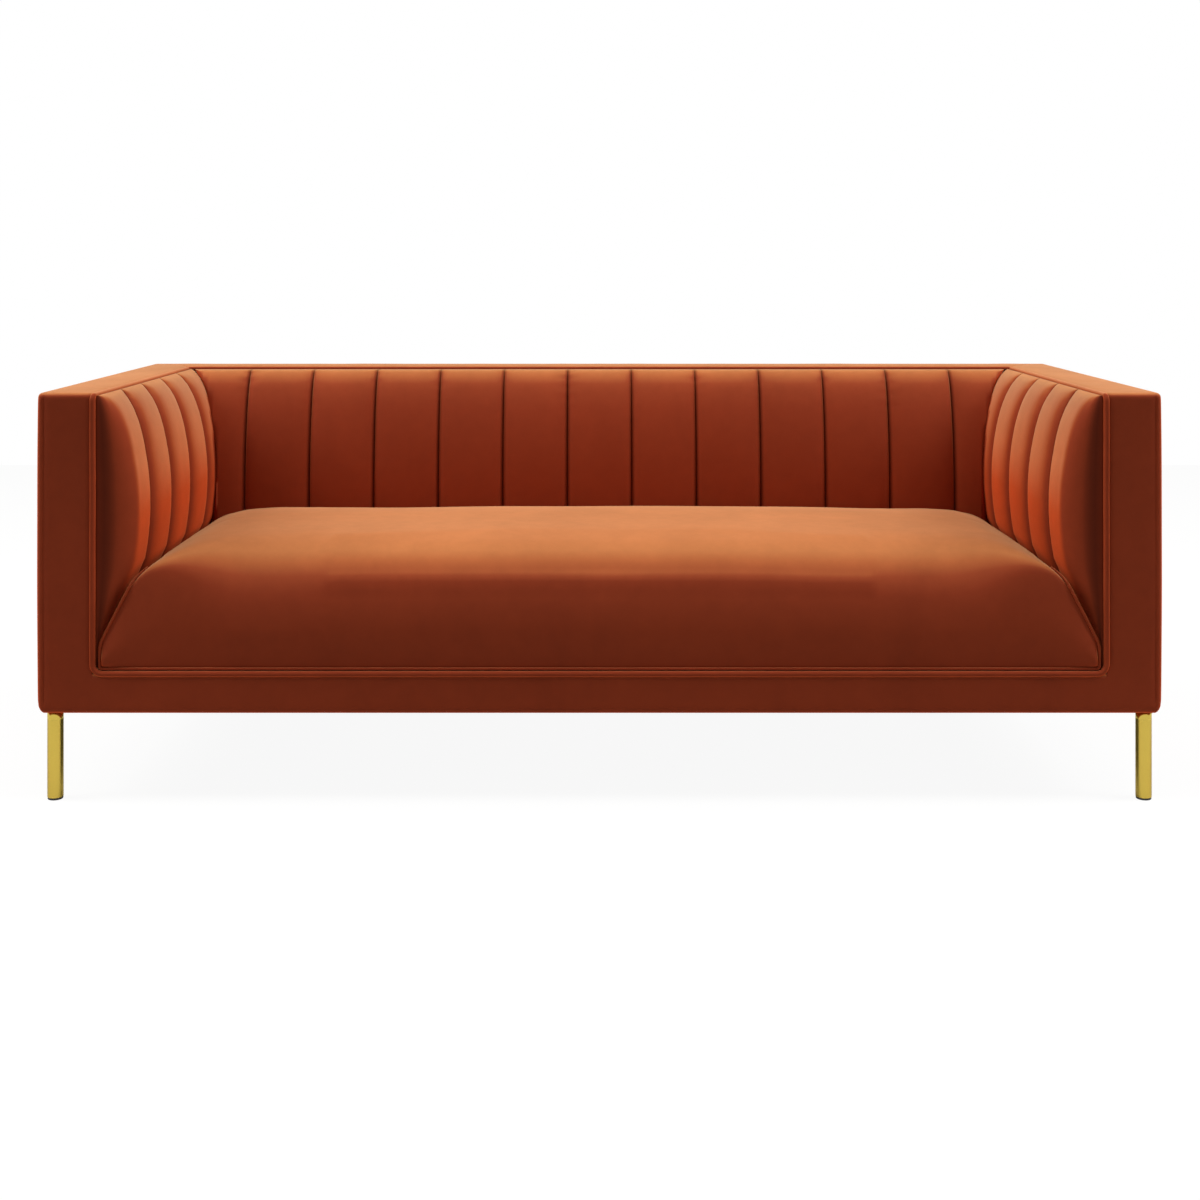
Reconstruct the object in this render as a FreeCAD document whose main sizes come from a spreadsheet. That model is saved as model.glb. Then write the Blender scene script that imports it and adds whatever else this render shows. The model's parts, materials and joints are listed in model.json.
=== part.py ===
"""Tuxedo sofa: wooden frame, sprung deck, channel pads, covers, piping, loose bench cushion, tube legs.

Millimetres. X runs along the sofa, +Y towards the back, +Z up. The origin is on the floor, under the
middle. Left is the -X side, as seen from the front.
"""

import FreeCAD, Part
import math
import os

import Sketcher

SIZES = {
    # the whole sofa
    "overall_width": 2134,
    "overall_depth": 825,
    "overall_height": 776,
    "leg_height": 171,
    "seat_gap": 0.3,
    # layers of the upholstery
    "cover_padding": 10,
    "top_padding": 12,
    "cover_return": 3,
    "return_width": 50,
    "outer_board": 3,
    "inner_board": 4,
    "board_lift": 4,
    "cover_edge_radius": 12,
    "cover_top_radius": 9,
    "cover_heel_radius": 16,
    # piping
    "welt_radius": 5.5,
    "welt_proud": 3,
    "welt_bend": 14,
    "welt_turn": 8,
    "welt_inset": 2,
    # frame
    "arm_frame_width": 96,
    "back_frame_width": 90,
    "post_thickness": 45,
    "rail_thickness": 28,
    "rail_height": 60,
    "top_rail_thickness": 22,
    "tack_rail_height": 40,
    "stretcher_height": 40,
    "stretcher_spacing": 638,
    "stile_spacing": 479,
    "corner_block_leg": 90,
    # springs and deck
    "spring_wire": 3.8,
    "spring_width": 52,
    "spring_loop": 70,
    "spring_spacing": 225,
    "spring_count": 8,
    "clip_sheet": 1.2,
    "clip_width": 24,
    "clip_depth": 12,
    "tie_radius": 1.5,
    "tie_spacing": 220,
    "deck_pad": 5.8,
    "deck_cloth": 2.5,
    "deck_overlap": 30,
    "flap_thickness": 3.5,
    "flap_depth": 12,
    "dust_cover": 1,
    "dust_cover_inset": 46,
    # channel pads
    "arm_channels": 5,
    "arm_pad_crest": 85,
    "arm_pad_groove": 14,
    "arm_pad_widest": 545,
    "arm_pad_lower_reach": 223,
    "pad_lean_bottom": 48,
    "pad_lean_top": 190,
    "pad_foot": 38,
    "back_channels": 13,
    "back_pad_depth": 90,
    "back_pad_crown": 14,
    "back_pad_shoulder": 490,
    "pad_top_drop": 8,
    "pad_mitre_gap": 0.8,
    # seat cushion
    "cushion_side_gap": 3,
    "cushion_back_gap": 2,
    "cushion_front_inset": 8.5,
    "cushion_shoulder": 182,
    "cushion_edge_run": 65,
    "cushion_edge_rise": 45,
    "cushion_crown": 11,
    "cushion_corner_radius": 18,
    "cushion_shoulder_radius": 55,
    "cushion_front_roll": 100,
    "cushion_back_roll": 60,
    "core_wall": 20,
    "core_front_wall": 32,
    "core_floor": 8,
    "core_height": 184,
    "core_gap": 0.5,
    "cushion_welt_radius": 3.2,
    # legs
    "leg_diameter": 30,
    "leg_wall": 1.5,
    "leg_cap": 4,
    "leg_inset": 28,
    "glide_flange": 4.2,
    "glide_flange_radius": 14.4,
    "glide_stem": 16,
    "bolt_radius": 5,
    "bolt_reach": 45,
    "bolt_fit": 0.3,
}
SIDES = {"left": -1, "right": 1}
ENDS = ("front", "rear")
# How far a cutting solid passes the face that it cuts
OVERSHOOT = 5
# Sections above a pad's bend, and chords round the front of an arm pad
PAD_STEPS = 4
ROLL_CHORDS = 3
CORD_SIDES = 8
# A bend of a spring is three chords, so each corner turns by 45 degrees
SPRING_HALF_TURN = math.radians(22.5)

doc = FreeCAD.newDocument("TuxedoSofa")
sheet = doc.addObject("Spreadsheet::Sheet", "Sizes")
subparts = []


class Size:
    """A length in mm that also knows its formula in the sheet's names, for binding a property to it."""

    def __init__(self, value, formula):
        self.value = value
        self.formula = formula

    def __add__(self, other):
        other = as_size(other)
        return Size(self.value + other.value, f"({self.formula} + {other.formula})")

    def __sub__(self, other):
        other = as_size(other)
        return Size(self.value - other.value, f"({self.formula} - {other.formula})")

    def __mul__(self, other):
        other = as_size(other)
        return Size(self.value * other.value, f"({self.formula} * {other.formula})")

    def __truediv__(self, other):
        other = as_size(other)
        return Size(self.value / other.value, f"({self.formula} / {other.formula})")

    def __neg__(self):
        return Size(-self.value, f"(0 - {self.formula})")

    def __float__(self):
        return float(self.value)

    __radd__ = __add__
    __rmul__ = __mul__


def as_size(number):
    """The number as a Size, or the Size itself."""
    if isinstance(number, Size):
        return number
    return Size(number, f"({number})")


def fill_sheet():
    """One row for each driving size: its name, and its value under that name as alias."""
    for row, (name, value) in enumerate(SIZES.items(), start=1):
        sheet.set(f"A{row}", name)
        sheet.set(f"B{row}", str(value))
        sheet.setAlias(f"B{row}", name)
    doc.recompute()


def size(name):
    """The driving size of that name."""
    return Size(float(sheet.get(name)), f"Sizes.{name}")


def bind(item, prop, length):
    """Bind one property to a size."""
    item.setExpression(prop, as_size(length).formula)


def keep(item, label):
    """Give a finished sub-part its name."""
    item.Label = label
    subparts.append(item)
    return item


def both_ways(side, low, high):
    """The limits on the right side, or the mirrored ones on the left."""
    return (low, high) if side > 0 else (-high, -low)


# Primitives


def block(name, x, y, z):
    """A rectangular member between a low and a high limit along each axis."""
    piece = doc.addObject("Part::Box", name)
    for prop, axis, (low, high) in zip(("Length", "Width", "Height"), "xyz", (x, y, z)):
        bind(piece, prop, as_size(high) - low)
        bind(piece, f"Placement.Base.{axis}", low)
    return piece


def rod(name, radius, length, start):
    """A cylinder that starts at a point and runs along +Z."""
    piece = doc.addObject("Part::Cylinder", name)
    bind(piece, "Radius", radius)
    bind(piece, "Height", length)
    for axis, place in zip("xyz", start):
        bind(piece, f"Placement.Base.{axis}", place)
    return piece


def compound(name, pieces):
    """Several like solids that share one node."""
    group = doc.addObject("Part::Compound", name)
    group.Links = pieces
    return group


def mirrored(name, source, normal, base=(0, 0, 0)):
    """The mirror image of a piece in a plane through base."""
    image = doc.addObject("Part::Mirroring", name)
    image.Source = source
    image.Normal = FreeCAD.Vector(*normal)
    for axis, place in zip("xyz", base):
        bind(image, f"Base.{axis}", place)
    return image


def drilled(name, blank, tools):
    """A piece with the given tool solids cut out of it."""
    bores = doc.addObject("Part::MultiFuse", name + "_bores")
    bores.Shapes = tools
    piece = doc.addObject("Part::Cut", name)
    piece.Base = blank
    piece.Tool = bores if len(tools) > 1 else tools[0]
    if len(tools) == 1:
        doc.removeObject(bores.Name)
    return piece


def add_edge(sketch, start, end, radius):
    """A line, or an arc of the signed radius (centre on the left if positive); True if it runs back."""
    if radius is None:
        sketch.addGeometry(Part.LineSegment(start, end), False)
        return False
    chord = end - start
    left = FreeCAD.Vector(-chord.y, chord.x, 0).normalize()
    turn = math.copysign(1, float(radius))
    sagitta = abs(float(radius)) - math.sqrt(float(radius) ** 2 - chord.Length**2 / 4)
    middle = (start + end) / 2 - left * (sagitta * turn)
    ends = (start, end) if turn > 0 else (end, start)
    sketch.addGeometry(Part.Arc(ends[0], middle, ends[1]), False)
    return turn < 0


def profile(body, plane, name, points, lift=None):
    """A closed sketch on an origin plane of the body.

    Every corner is bound both ways. A corner with a third value starts an arc of that signed radius.
    """
    sketch = body.newObject("Sketcher::SketchObject", name)
    support = next(item for item in body.Origin.OriginFeatures if item.Role == plane)
    sketch.AttachmentSupport = [(support, "")]
    sketch.MapMode = "FlatFace"
    if lift is not None:
        bind(sketch, "AttachmentOffset.Base.z", lift)
    corners = [(as_size(point[0]), as_size(point[1])) for point in points]
    radii = [point[2] if len(point) > 2 else None for point in points]
    spots = [FreeCAD.Vector(float(across), float(up), 0) for across, up in corners]
    following = spots[1:] + spots[:1]
    runs_back = [add_edge(sketch, *edge) for edge in zip(spots, following, radii)]
    starts = [2 if back else 1 for back in runs_back]
    for index, start in enumerate(starts):
        after = (index + 1) % len(corners)
        sketch.addConstraint(Sketcher.Constraint("Coincident", index, 3 - start, after, starts[after]))
    for index, corner in enumerate(corners):
        for kind, length in zip(("DistanceX", "DistanceY"), corner):
            if length.value == 0:
                axis = -2 if kind == "DistanceX" else -1
                sketch.addConstraint(Sketcher.Constraint("PointOnObject", index, starts[index], axis))
                continue
            datum = Sketcher.Constraint(kind, -1, 1, index, starts[index], float(length))
            bind(sketch, f"Constraints[{sketch.addConstraint(datum)}]", length)
    for index, radius in enumerate(radii):
        if radius is not None:
            length = radius if float(radius) > 0 else -radius
            datum = Sketcher.Constraint("Radius", index, float(length))
            bind(sketch, f"Constraints[{sketch.addConstraint(datum)}]", length)
    return sketch


def feature(body, kind, name, sketch, length=None, both_sides=False, backwards=False):
    """A pad or pocket of a sketch through a bound length."""
    item = body.newObject(f"PartDesign::{kind}", name)
    item.Profile = (sketch, [""])
    bind(item, "Length", length)
    item.SideType = "Symmetric" if both_sides else "One side"
    item.Reversed = backwards
    doc.recompute()
    return item


def revolved(body, name, sketch):
    """The sketch turned once round its own upright axis."""
    item = body.newObject("PartDesign::Revolution", name)
    item.Profile = (sketch, [""])
    item.ReferenceAxis = (sketch, ["V_Axis"])
    item.Angle = 360
    doc.recompute()
    return item


def rounded(body, name, base, radius, *places):
    """Fillet the edges that lie at each place, such as {"x": 10, "z": 5}."""
    edges = []
    for number, edge in enumerate(base.Shape.Edges, start=1):
        box = edge.BoundBox
        limits = {"x": (box.XMin, box.XMax), "y": (box.YMin, box.YMax), "z": (box.ZMin, box.ZMax)}
        for place in places:
            if all(abs(end - float(at)) < 0.01 for axis, at in place.items() for end in limits[axis]):
                edges.append(f"Edge{number}")
                break
    if not edges:
        raise RuntimeError(f"{body.Name}.{name} found no edge")
    item = body.newObject("PartDesign::Fillet", name)
    item.Base = (base, edges)
    bind(item, "Radius", radius)
    doc.recompute()
    return item


def cuts(body, before):
    """Raise unless the body's last feature took material away."""
    if body.Shape.Volume > before - 1:
        raise RuntimeError(f"{body.Name}: {body.Tip.Name} cut nothing")


def tube_along(points, radius, bend):
    """A cord of even sides along straight runs, with a tangent arc of the bend radius at every corner."""
    edges = []
    start = points[0]
    for before, corner, after in zip(points, points[1:], points[2:]):
        to_before = (before - corner).normalize()
        to_after = (after - corner).normalize()
        half = to_before.getAngle(to_after) / 2
        reach = bend / math.tan(half)
        middle_way = (to_before + to_after).normalize()
        centre = corner + middle_way * (bend / math.sin(half))
        arc_start = corner + to_before * reach
        arc_end = corner + to_after * reach
        if (arc_start - start).Length > 1e-6:
            edges.append(Part.LineSegment(start, arc_start).toShape())
        edges.append(Part.Arc(arc_start, centre - middle_way * bend, arc_end).toShape())
        start = arc_end
    if (points[-1] - start).Length > 1e-6:
        edges.append(Part.LineSegment(start, points[-1]).toShape())
    path = Part.Wire(edges)
    turn = FreeCAD.Rotation(FreeCAD.Vector(0, 0, 1), points[1] - points[0])
    rim = []
    for side in range(CORD_SIDES + 1):
        angle = 2 * math.pi * side / CORD_SIDES
        rim.append(points[0] + turn.multVec(FreeCAD.Vector(math.cos(angle), math.sin(angle), 0)) * radius)
    return path.makePipeShell([Part.makePolygon(rim)], True, False)


def add_shape(name, shape):
    """A finished shape as an object of the document."""
    item = doc.addObject("Part::Feature", name)
    item.Shape = shape
    return item


fill_sheet()

# Places that pieces share

half_width = size("overall_width") / 2
half_depth = size("overall_depth") / 2
gap = size("seat_gap")

panel_front = -half_depth + size("welt_proud")
frame_front = panel_front + size("cover_padding")
frame_rear = half_depth - size("cover_padding") - size("outer_board")
back_board_front = frame_rear - size("back_frame_width") - size("inner_board")
back_frame_front = back_board_front + size("inner_board")
arm_frame_outer = half_width - size("cover_padding") - size("outer_board")
arm_frame_inner = arm_frame_outer - size("arm_frame_width")
inner_plane = arm_frame_inner - size("inner_board")
post_rear = frame_front + size("post_thickness")
rear_post_front = frame_rear - size("post_thickness")

body_bottom = size("leg_height")
frame_bottom = body_bottom + size("cover_return")
rail_top = frame_bottom + size("rail_height")
frame_top = size("overall_height") - size("top_padding")
top_rail_bottom = frame_top - size("top_rail_thickness")
wire_bottom = rail_top + size("clip_sheet") + gap
wire_top = wire_bottom + size("spring_wire")
deck_bottom = wire_top + gap + size("clip_sheet") + gap
cloth_bottom = deck_bottom + size("deck_pad")
deck_top = cloth_bottom + size("deck_cloth")
board_bottom = deck_top + size("board_lift")
cushion_bottom = deck_top + gap
pad_top = size("overall_height") - size("pad_top_drop")

welt_y = -half_depth + size("welt_radius")
welt_x = inner_plane + size("welt_radius") + size("welt_inset")
welt_low = rail_top + size("flap_thickness") + gap + size("welt_radius")
welt_high = size("overall_height") - size("welt_radius") - gap
welt_seat_x = welt_x + size("welt_radius") + gap
back_welt_y = back_frame_front + size("welt_radius") + gap

leg_x = half_width - size("leg_inset")
leg_y = {"front": -half_depth + size("leg_inset"), "rear": half_depth - size("leg_inset")}


# Frame


def build_frame():
    """Seat box, arm frames and back frame of solid wood members."""
    thick = size("rail_thickness")
    frame_x = (-arm_frame_inner, arm_frame_inner)
    seat_z = (frame_bottom, rail_top)
    back_inner_y = (back_frame_front, back_frame_front + thick)
    tack_z = (board_bottom, board_bottom + size("tack_rail_height"))
    post_z = (rail_top, top_rail_bottom)

    keep(block("seat_front_rail", frame_x, (frame_front, frame_front + thick), seat_z), "seat_front_rail")
    keep(block("seat_back_rail", frame_x, back_inner_y, seat_z), "seat_back_rail")
    keep(block("back_bottom_rail", frame_x, (frame_rear - thick, frame_rear), seat_z), "back_bottom_rail")
    keep(
        block("back_top_rail", frame_x, (back_frame_front, frame_rear), (top_rail_bottom, frame_top)),
        "back_top_rail",
    )

    for side_name, side in SIDES.items():
        arm_x = both_ways(side, arm_frame_inner, arm_frame_outer)
        inner_x = both_ways(side, arm_frame_inner, arm_frame_inner + thick)
        keep(
            block(f"seat_side_rail_{side_name}", inner_x, (post_rear, rear_post_front), seat_z),
            f"seat_side_rail_{side_name}",
        )
        posts = {"arm_front_post": (frame_front, post_rear), "rear_corner_post": (rear_post_front, frame_rear)}
        for (post_name, post_y), end_name in zip(posts.items(), ENDS):
            blank = block(f"{post_name}_blank_{side_name}", arm_x, post_y, (frame_bottom, top_rail_bottom))
            post = drilled(f"{post_name}_{side_name}", blank, [bolt_bore(end_name, side)])
            keep(post, f"{post_name}_{side_name}")
        keep(
            block(f"arm_mid_post_{side_name}", arm_x, (-thick / 2, thick / 2), post_z),
            f"arm_mid_post_{side_name}",
        )
        top_z = (top_rail_bottom, frame_top)
        keep(
            block(f"arm_top_rail_{side_name}", arm_x, (frame_front, frame_rear), top_z),
            f"arm_top_rail_{side_name}",
        )
        halves = []
        for low, high in ((post_rear, -thick / 2), (thick / 2, rear_post_front)):
            halves.append(block(f"arm_tack_{side_name}", inner_x, (low, high), tack_z))
        keep(compound(f"arm_tack_rail_{side_name}", halves), f"arm_tack_rail_{side_name}")
        middle = size("stretcher_spacing") / 2
        stretcher_x = both_ways(side, middle - thick / 2, middle + thick / 2)
        stretcher_z = (frame_bottom, frame_bottom + size("stretcher_height"))
        stretcher_y = (frame_front + thick, back_frame_front)
        keep(
            block(f"seat_stretcher_{side_name}", stretcher_x, stretcher_y, stretcher_z),
            f"seat_stretcher_{side_name}",
        )

    keep(block("back_tack_rail", frame_x, back_inner_y, tack_z), "back_tack_rail")
    stiles = []
    for place in (-1, 0, 1):
        middle = size("stile_spacing") * place
        stile_x = (middle - thick / 2, middle + thick / 2)
        stiles.append(block("back_stile", stile_x, (back_frame_front + thick, frame_rear), post_z))
    keep(compound("back_stiles", stiles), "back_stiles")
    build_corner_blocks()


def build_corner_blocks():
    """Triangular blocks glued in the four corners of the seat box."""
    leg = size("corner_block_leg")
    corner_y = frame_front + size("rail_thickness")
    body = doc.addObject("PartDesign::Body", "CornerBlock")
    corner_x = arm_frame_inner
    outline = [(corner_x, corner_y), (corner_x, corner_y + leg), (corner_x - leg, corner_y)]
    sketch = profile(body, "XY_Plane", "CornerOutline", outline, frame_bottom)
    feature(body, "Pad", "CornerPad", sketch, size("stretcher_height"))
    middle_y = (corner_y + back_frame_front) / 2
    front_left = mirrored("corner_front_left", body, (1, 0, 0))
    rear_right = mirrored("corner_rear_right", body, (0, 1, 0), (0, middle_y, 0))
    rear_left = mirrored("corner_rear_left", rear_right, (1, 0, 0))
    keep(compound("corner_blocks", [body, front_left, rear_right, rear_left]), "corner_blocks")


def bolt_bore(end_name, side):
    """The bore in a corner post that takes the leg's hanger bolt."""
    start = (leg_x * side, leg_y[end_name], frame_bottom)
    fit = size("bolt_fit")
    return rod("bolt_bore", size("bolt_radius") + fit, size("bolt_reach") + fit, start)


# Boards


def build_boards():
    """Thin panels that close the outer side of arms and back, and carry the pads on the inner side."""
    full_z = (frame_bottom, frame_top)
    pad_z = (board_bottom, frame_top)
    for side_name, side in SIDES.items():
        outer_x = both_ways(side, arm_frame_outer, arm_frame_outer + size("outer_board"))
        inner_x = both_ways(side, inner_plane, arm_frame_inner)
        keep(
            block(f"arm_outer_board_{side_name}", outer_x, (frame_front, frame_rear), full_z),
            f"arm_outer_board_{side_name}",
        )
        keep(
            block(f"arm_inner_board_{side_name}", inner_x, (frame_front, back_board_front), pad_z),
            f"arm_inner_board_{side_name}",
        )
    outer_y = (frame_rear, frame_rear + size("outer_board"))
    inner_y = (back_board_front, back_frame_front)
    keep(block("back_outer_board", (-arm_frame_outer, arm_frame_outer), outer_y, full_z), "back_outer_board")
    keep(block("back_inner_board", (-arm_frame_inner, arm_frame_inner), inner_y, pad_z), "back_inner_board")


# Sprung deck


def spring_outline(length, width, wire, loops):
    """Corners of one sinuous spring seen from above: runs across X joined by bends of three chords each."""
    pitch = length / loops
    half = width / 2
    chamfer = pitch / 2 * (1 - math.tan(SPRING_HALF_TURN))
    middle = []
    for run in range(loops + 1):
        side = 1 if run % 2 == 0 else -1
        y = run * pitch
        if run > 0:
            middle += [(-side * (half - chamfer), y)]
        else:
            middle += [(-side * half, y)]
        if run < loops:
            middle += [(side * (half - chamfer), y)]
            middle += [(side * half, y + chamfer), (side * half, y + pitch - chamfer)]
        else:
            middle += [(side * half, y)]
    return offset_strip(middle, wire / 2)


def offset_strip(middle, half):
    """The closed outline of a strip of constant width about a line of corners, with mitred corners."""
    left, right = [], []
    points = [FreeCAD.Vector(x, y, 0) for x, y in middle]
    for index, point in enumerate(points):
        ways = []
        if index > 0:
            ways.append((point - points[index - 1]).normalize())
        if index < len(points) - 1:
            ways.append((points[index + 1] - point).normalize())
        along = ways[0] + ways[-1]
        along.normalize()
        across = FreeCAD.Vector(-along.y, along.x, 0)
        stretch = half / along.dot(ways[0])
        left.append(point + across * stretch)
        right.append(point - across * stretch)
    return left + right[::-1]


def build_springs():
    """Sinuous springs from rail to rail, a clip at each end, and two tie wires under them."""
    wire = size("spring_wire").value
    first_y = float(frame_front + size("rail_thickness") - size("clip_depth") / 2)
    last_y = float(back_frame_front + size("clip_depth") / 2)
    span = last_y - first_y
    loops = int(span / size("spring_loop").value / 2) * 2
    outline = spring_outline(span, size("spring_width").value, wire, loops)
    outline.append(outline[0])
    face = Part.Face(Part.makePolygon(outline))
    spring = face.extrude(FreeCAD.Vector(0, 0, wire))
    count = int(size("spring_count").value)
    places = [(index - (count - 1) / 2) * size("spring_spacing").value for index in range(count)]
    springs = [spring.translated(FreeCAD.Vector(x, first_y, float(wire_bottom))) for x in places]
    keep(add_shape("sinuous_springs", Part.makeCompound(springs)), "sinuous_springs")

    clip = build_clip()
    rear_clip = mirrored("rear_clip", clip, (0, 1, 0), (0, as_size((first_y + last_y) / 2), 0))
    doc.recompute()
    clips = []
    for x in places:
        for source in (clip, rear_clip):
            clips.append(source.Shape.translated(FreeCAD.Vector(x, 0, 0)))
    keep(add_shape("spring_clips", Part.makeCompound(clips)), "spring_clips")

    ties = []
    tie_z = float(wire_bottom - gap - size("tie_radius"))
    reach = float(arm_frame_inner)
    for place in (-0.5, 0.5):
        y = size("tie_spacing").value * place
        ends = [FreeCAD.Vector(-reach, y, tie_z), FreeCAD.Vector(reach, y, tie_z)]
        ties.append(tube_along(ends, size("tie_radius").value, 0))
    keep(add_shape("spring_ties", Part.makeCompound(ties)), "spring_ties")


def build_clip():
    """One clip: a strip bent over the end of a spring, as an open C on the front rail."""
    sheet_metal = size("clip_sheet")
    inner = frame_front + size("rail_thickness")
    outer = inner - size("clip_depth")
    top = wire_top + gap + sheet_metal
    outline = [
        (outer, rail_top),
        (inner, rail_top),
        (inner, rail_top + sheet_metal),
        (outer + sheet_metal, rail_top + sheet_metal),
        (outer + sheet_metal, top - sheet_metal),
        (inner, top - sheet_metal),
        (inner, top),
        (outer, top),
    ]
    body = doc.addObject("PartDesign::Body", "SpringClip")
    sketch = profile(body, "YZ_Plane", "ClipSection", outline)
    feature(body, "Pad", "ClipPad", sketch, size("clip_width"), both_sides=True)
    return body


def build_deck():
    """Pad and cloth over the springs, and the dust cover under the frame."""
    deck_x = (-inner_plane + gap, inner_plane - gap)
    pad_y = (frame_front, back_board_front)
    cloth_y = (frame_front, back_board_front + size("deck_overlap"))
    keep(block("deck_pad", deck_x, pad_y, (deck_bottom, cloth_bottom)), "deck_pad")
    keep(block("deck_cloth", deck_x, cloth_y, (cloth_bottom, deck_top)), "deck_cloth")
    inset = size("dust_cover_inset")
    dust_x = (-half_width + inset, half_width - inset)
    dust_y = (-half_depth + inset, half_depth - inset)
    keep(block("dust_cover", dust_x, dust_y, (body_bottom - size("dust_cover"), body_bottom)), "dust_cover")


# Channel pads


def arm_pad_crest(z):
    """How far an arm channel stands out at height z: it leans like the cushion below, elliptic above."""
    crest = size("arm_pad_crest").value
    widest = size("arm_pad_widest").value
    lean_bottom = float(cushion_bottom + size("pad_lean_bottom"))
    lean_top = float(cushion_bottom + size("pad_lean_top"))
    upper_reach = size("overall_height").value - widest
    reach = upper_reach if z > widest else size("arm_pad_lower_reach").value
    if z >= lean_top:
        return crest * math.sqrt(1 - ((z - widest) / reach) ** 2)
    edge = arm_pad_crest(lean_top)
    return edge * (z - lean_bottom) / (lean_top - lean_bottom)


def back_pad_depth(z):
    """Depth of the back pad's grooves at height z: even up to the shoulder, a quarter ellipse above it."""
    shoulder = size("back_pad_shoulder").value
    if z <= shoulder:
        return size("back_pad_depth").value
    rise = (z - shoulder) / (size("overall_height").value - shoulder)
    return size("back_pad_depth").value * math.sqrt(1 - rise**2)


def scallops(place, start, pitch, count, groove, crest):
    """Arcs from groove to groove, where place(along, out) gives the point at that distance out."""
    edges = []
    for index in range(count):
        low = place(start + index * pitch, groove)
        top = place(start + (index + 0.5) * pitch, crest)
        high = place(start + (index + 1) * pitch, groove)
        edges.append(Part.Arc(low, top, high).toShape())
    return edges


def arm_pad_section(z):
    """Closed outline of the right arm pad at height z; its first channel rolls round its front end."""
    crest = arm_pad_crest(z)
    groove = crest - size("arm_pad_groove").value
    front = float(frame_front)
    rear = float(back_board_front)
    count = int(size("arm_channels").value)
    pitch = (rear - front) / count
    board = float(inner_plane)

    def place(along, out):
        return FreeCAD.Vector(board - out, along, z)

    roll = pitch / 2
    turns = [math.pi / 2 * step / ROLL_CHORDS for step in range(ROLL_CHORDS + 1)]
    rim = [place(front + roll * (1 - math.cos(turn)), crest * math.sin(turn)) for turn in turns]
    edges = [Part.LineSegment(*ends).toShape() for ends in zip(rim, rim[1:])]
    # The middle of half a scallop lies a quarter of its fall down
    halfway = place(front + roll + pitch / 4, crest - (crest - groove) / 4)
    fall = Part.Arc(place(front + roll, crest), halfway, place(front + pitch, groove))
    edges.append(fall.toShape())
    edges += scallops(place, front + pitch, pitch, count - 1, groove, crest)
    edges.append(Part.LineSegment(place(rear, groove), place(rear, 0)).toShape())
    edges.append(Part.LineSegment(place(rear, 0), place(front, 0)).toShape())
    return Part.Wire(edges)


def back_pad_section(z):
    """Closed outline of the back pad at height z."""
    groove = back_pad_depth(z)
    crest = groove + size("back_pad_crown").value
    count = int(size("back_channels").value)
    left = -float(inner_plane)
    pitch = -2 * left / count
    board = float(back_board_front)

    def place(along, out):
        return FreeCAD.Vector(along, board - out, z)

    edges = scallops(place, left, pitch, count, groove, crest)
    edges.append(Part.LineSegment(place(-left, groove), place(-left, 0)).toShape())
    edges.append(Part.LineSegment(place(-left, 0), place(left, 0)).toShape())
    edges.append(Part.LineSegment(place(left, 0), place(left, groove)).toShape())
    return Part.Wire(edges)


def pad_solid(section, bottom, bend, top):
    """A pad with straight channels up to the bend, and channels that close in ever shorter steps above it."""
    steps = [math.sin(math.pi / 2 * step / PAD_STEPS) for step in range(PAD_STEPS + 1)]
    heights = [bottom] + [bend + (top - bend) * step for step in steps]
    return Part.makeLoft([section(z) for z in heights], True, True)


def mitre_tool(side, keep_arm):
    """A prism on one side of the mitre plane between an arm pad and the back pad."""
    corner = FreeCAD.Vector(side * float(inner_plane), float(back_board_front), 0)
    arm_out = size("arm_pad_crest").value
    back_out = size("back_pad_depth").value + size("back_pad_crown").value
    along = FreeCAD.Vector(-side * arm_out, -back_out, 0).normalize()
    to_arm = FreeCAD.Vector(side * back_out, -arm_out, 0).normalize()
    away = to_arm * (-1 if keep_arm else 1)
    reach = arm_out + back_out
    near = corner - away * (size("pad_mitre_gap").value / 2)
    corners = [near - along * reach, near + along * reach * 2]
    corners += [corners[1] + away * reach * 2, corners[0] + away * reach * 2]
    outline = Part.makePolygon(corners + corners[:1])
    return Part.Face(outline).extrude(FreeCAD.Vector(0, 0, size("overall_height").value))


def build_pads():
    """Channel pads of the arms and the back, mitred where they meet."""
    top = float(pad_top)
    foot = float(cushion_bottom + size("pad_lean_bottom") + size("pad_foot"))
    lean_top = float(cushion_bottom + size("pad_lean_top"))
    right = pad_solid(arm_pad_section, foot, lean_top, top).cut(mitre_tool(1, True))
    right_pad = keep(add_shape("arm_channel_pad_right", right), "arm_channel_pad_right")
    keep(mirrored("arm_channel_pad_left", right_pad, (1, 0, 0)), "arm_channel_pad_left")

    back = pad_solid(back_pad_section, float(cushion_bottom), size("back_pad_shoulder").value, top)
    for side in SIDES.values():
        back = back.cut(mitre_tool(side, False))
    keep(add_shape("back_channel_pad", back), "back_channel_pad")


# Covers


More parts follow.
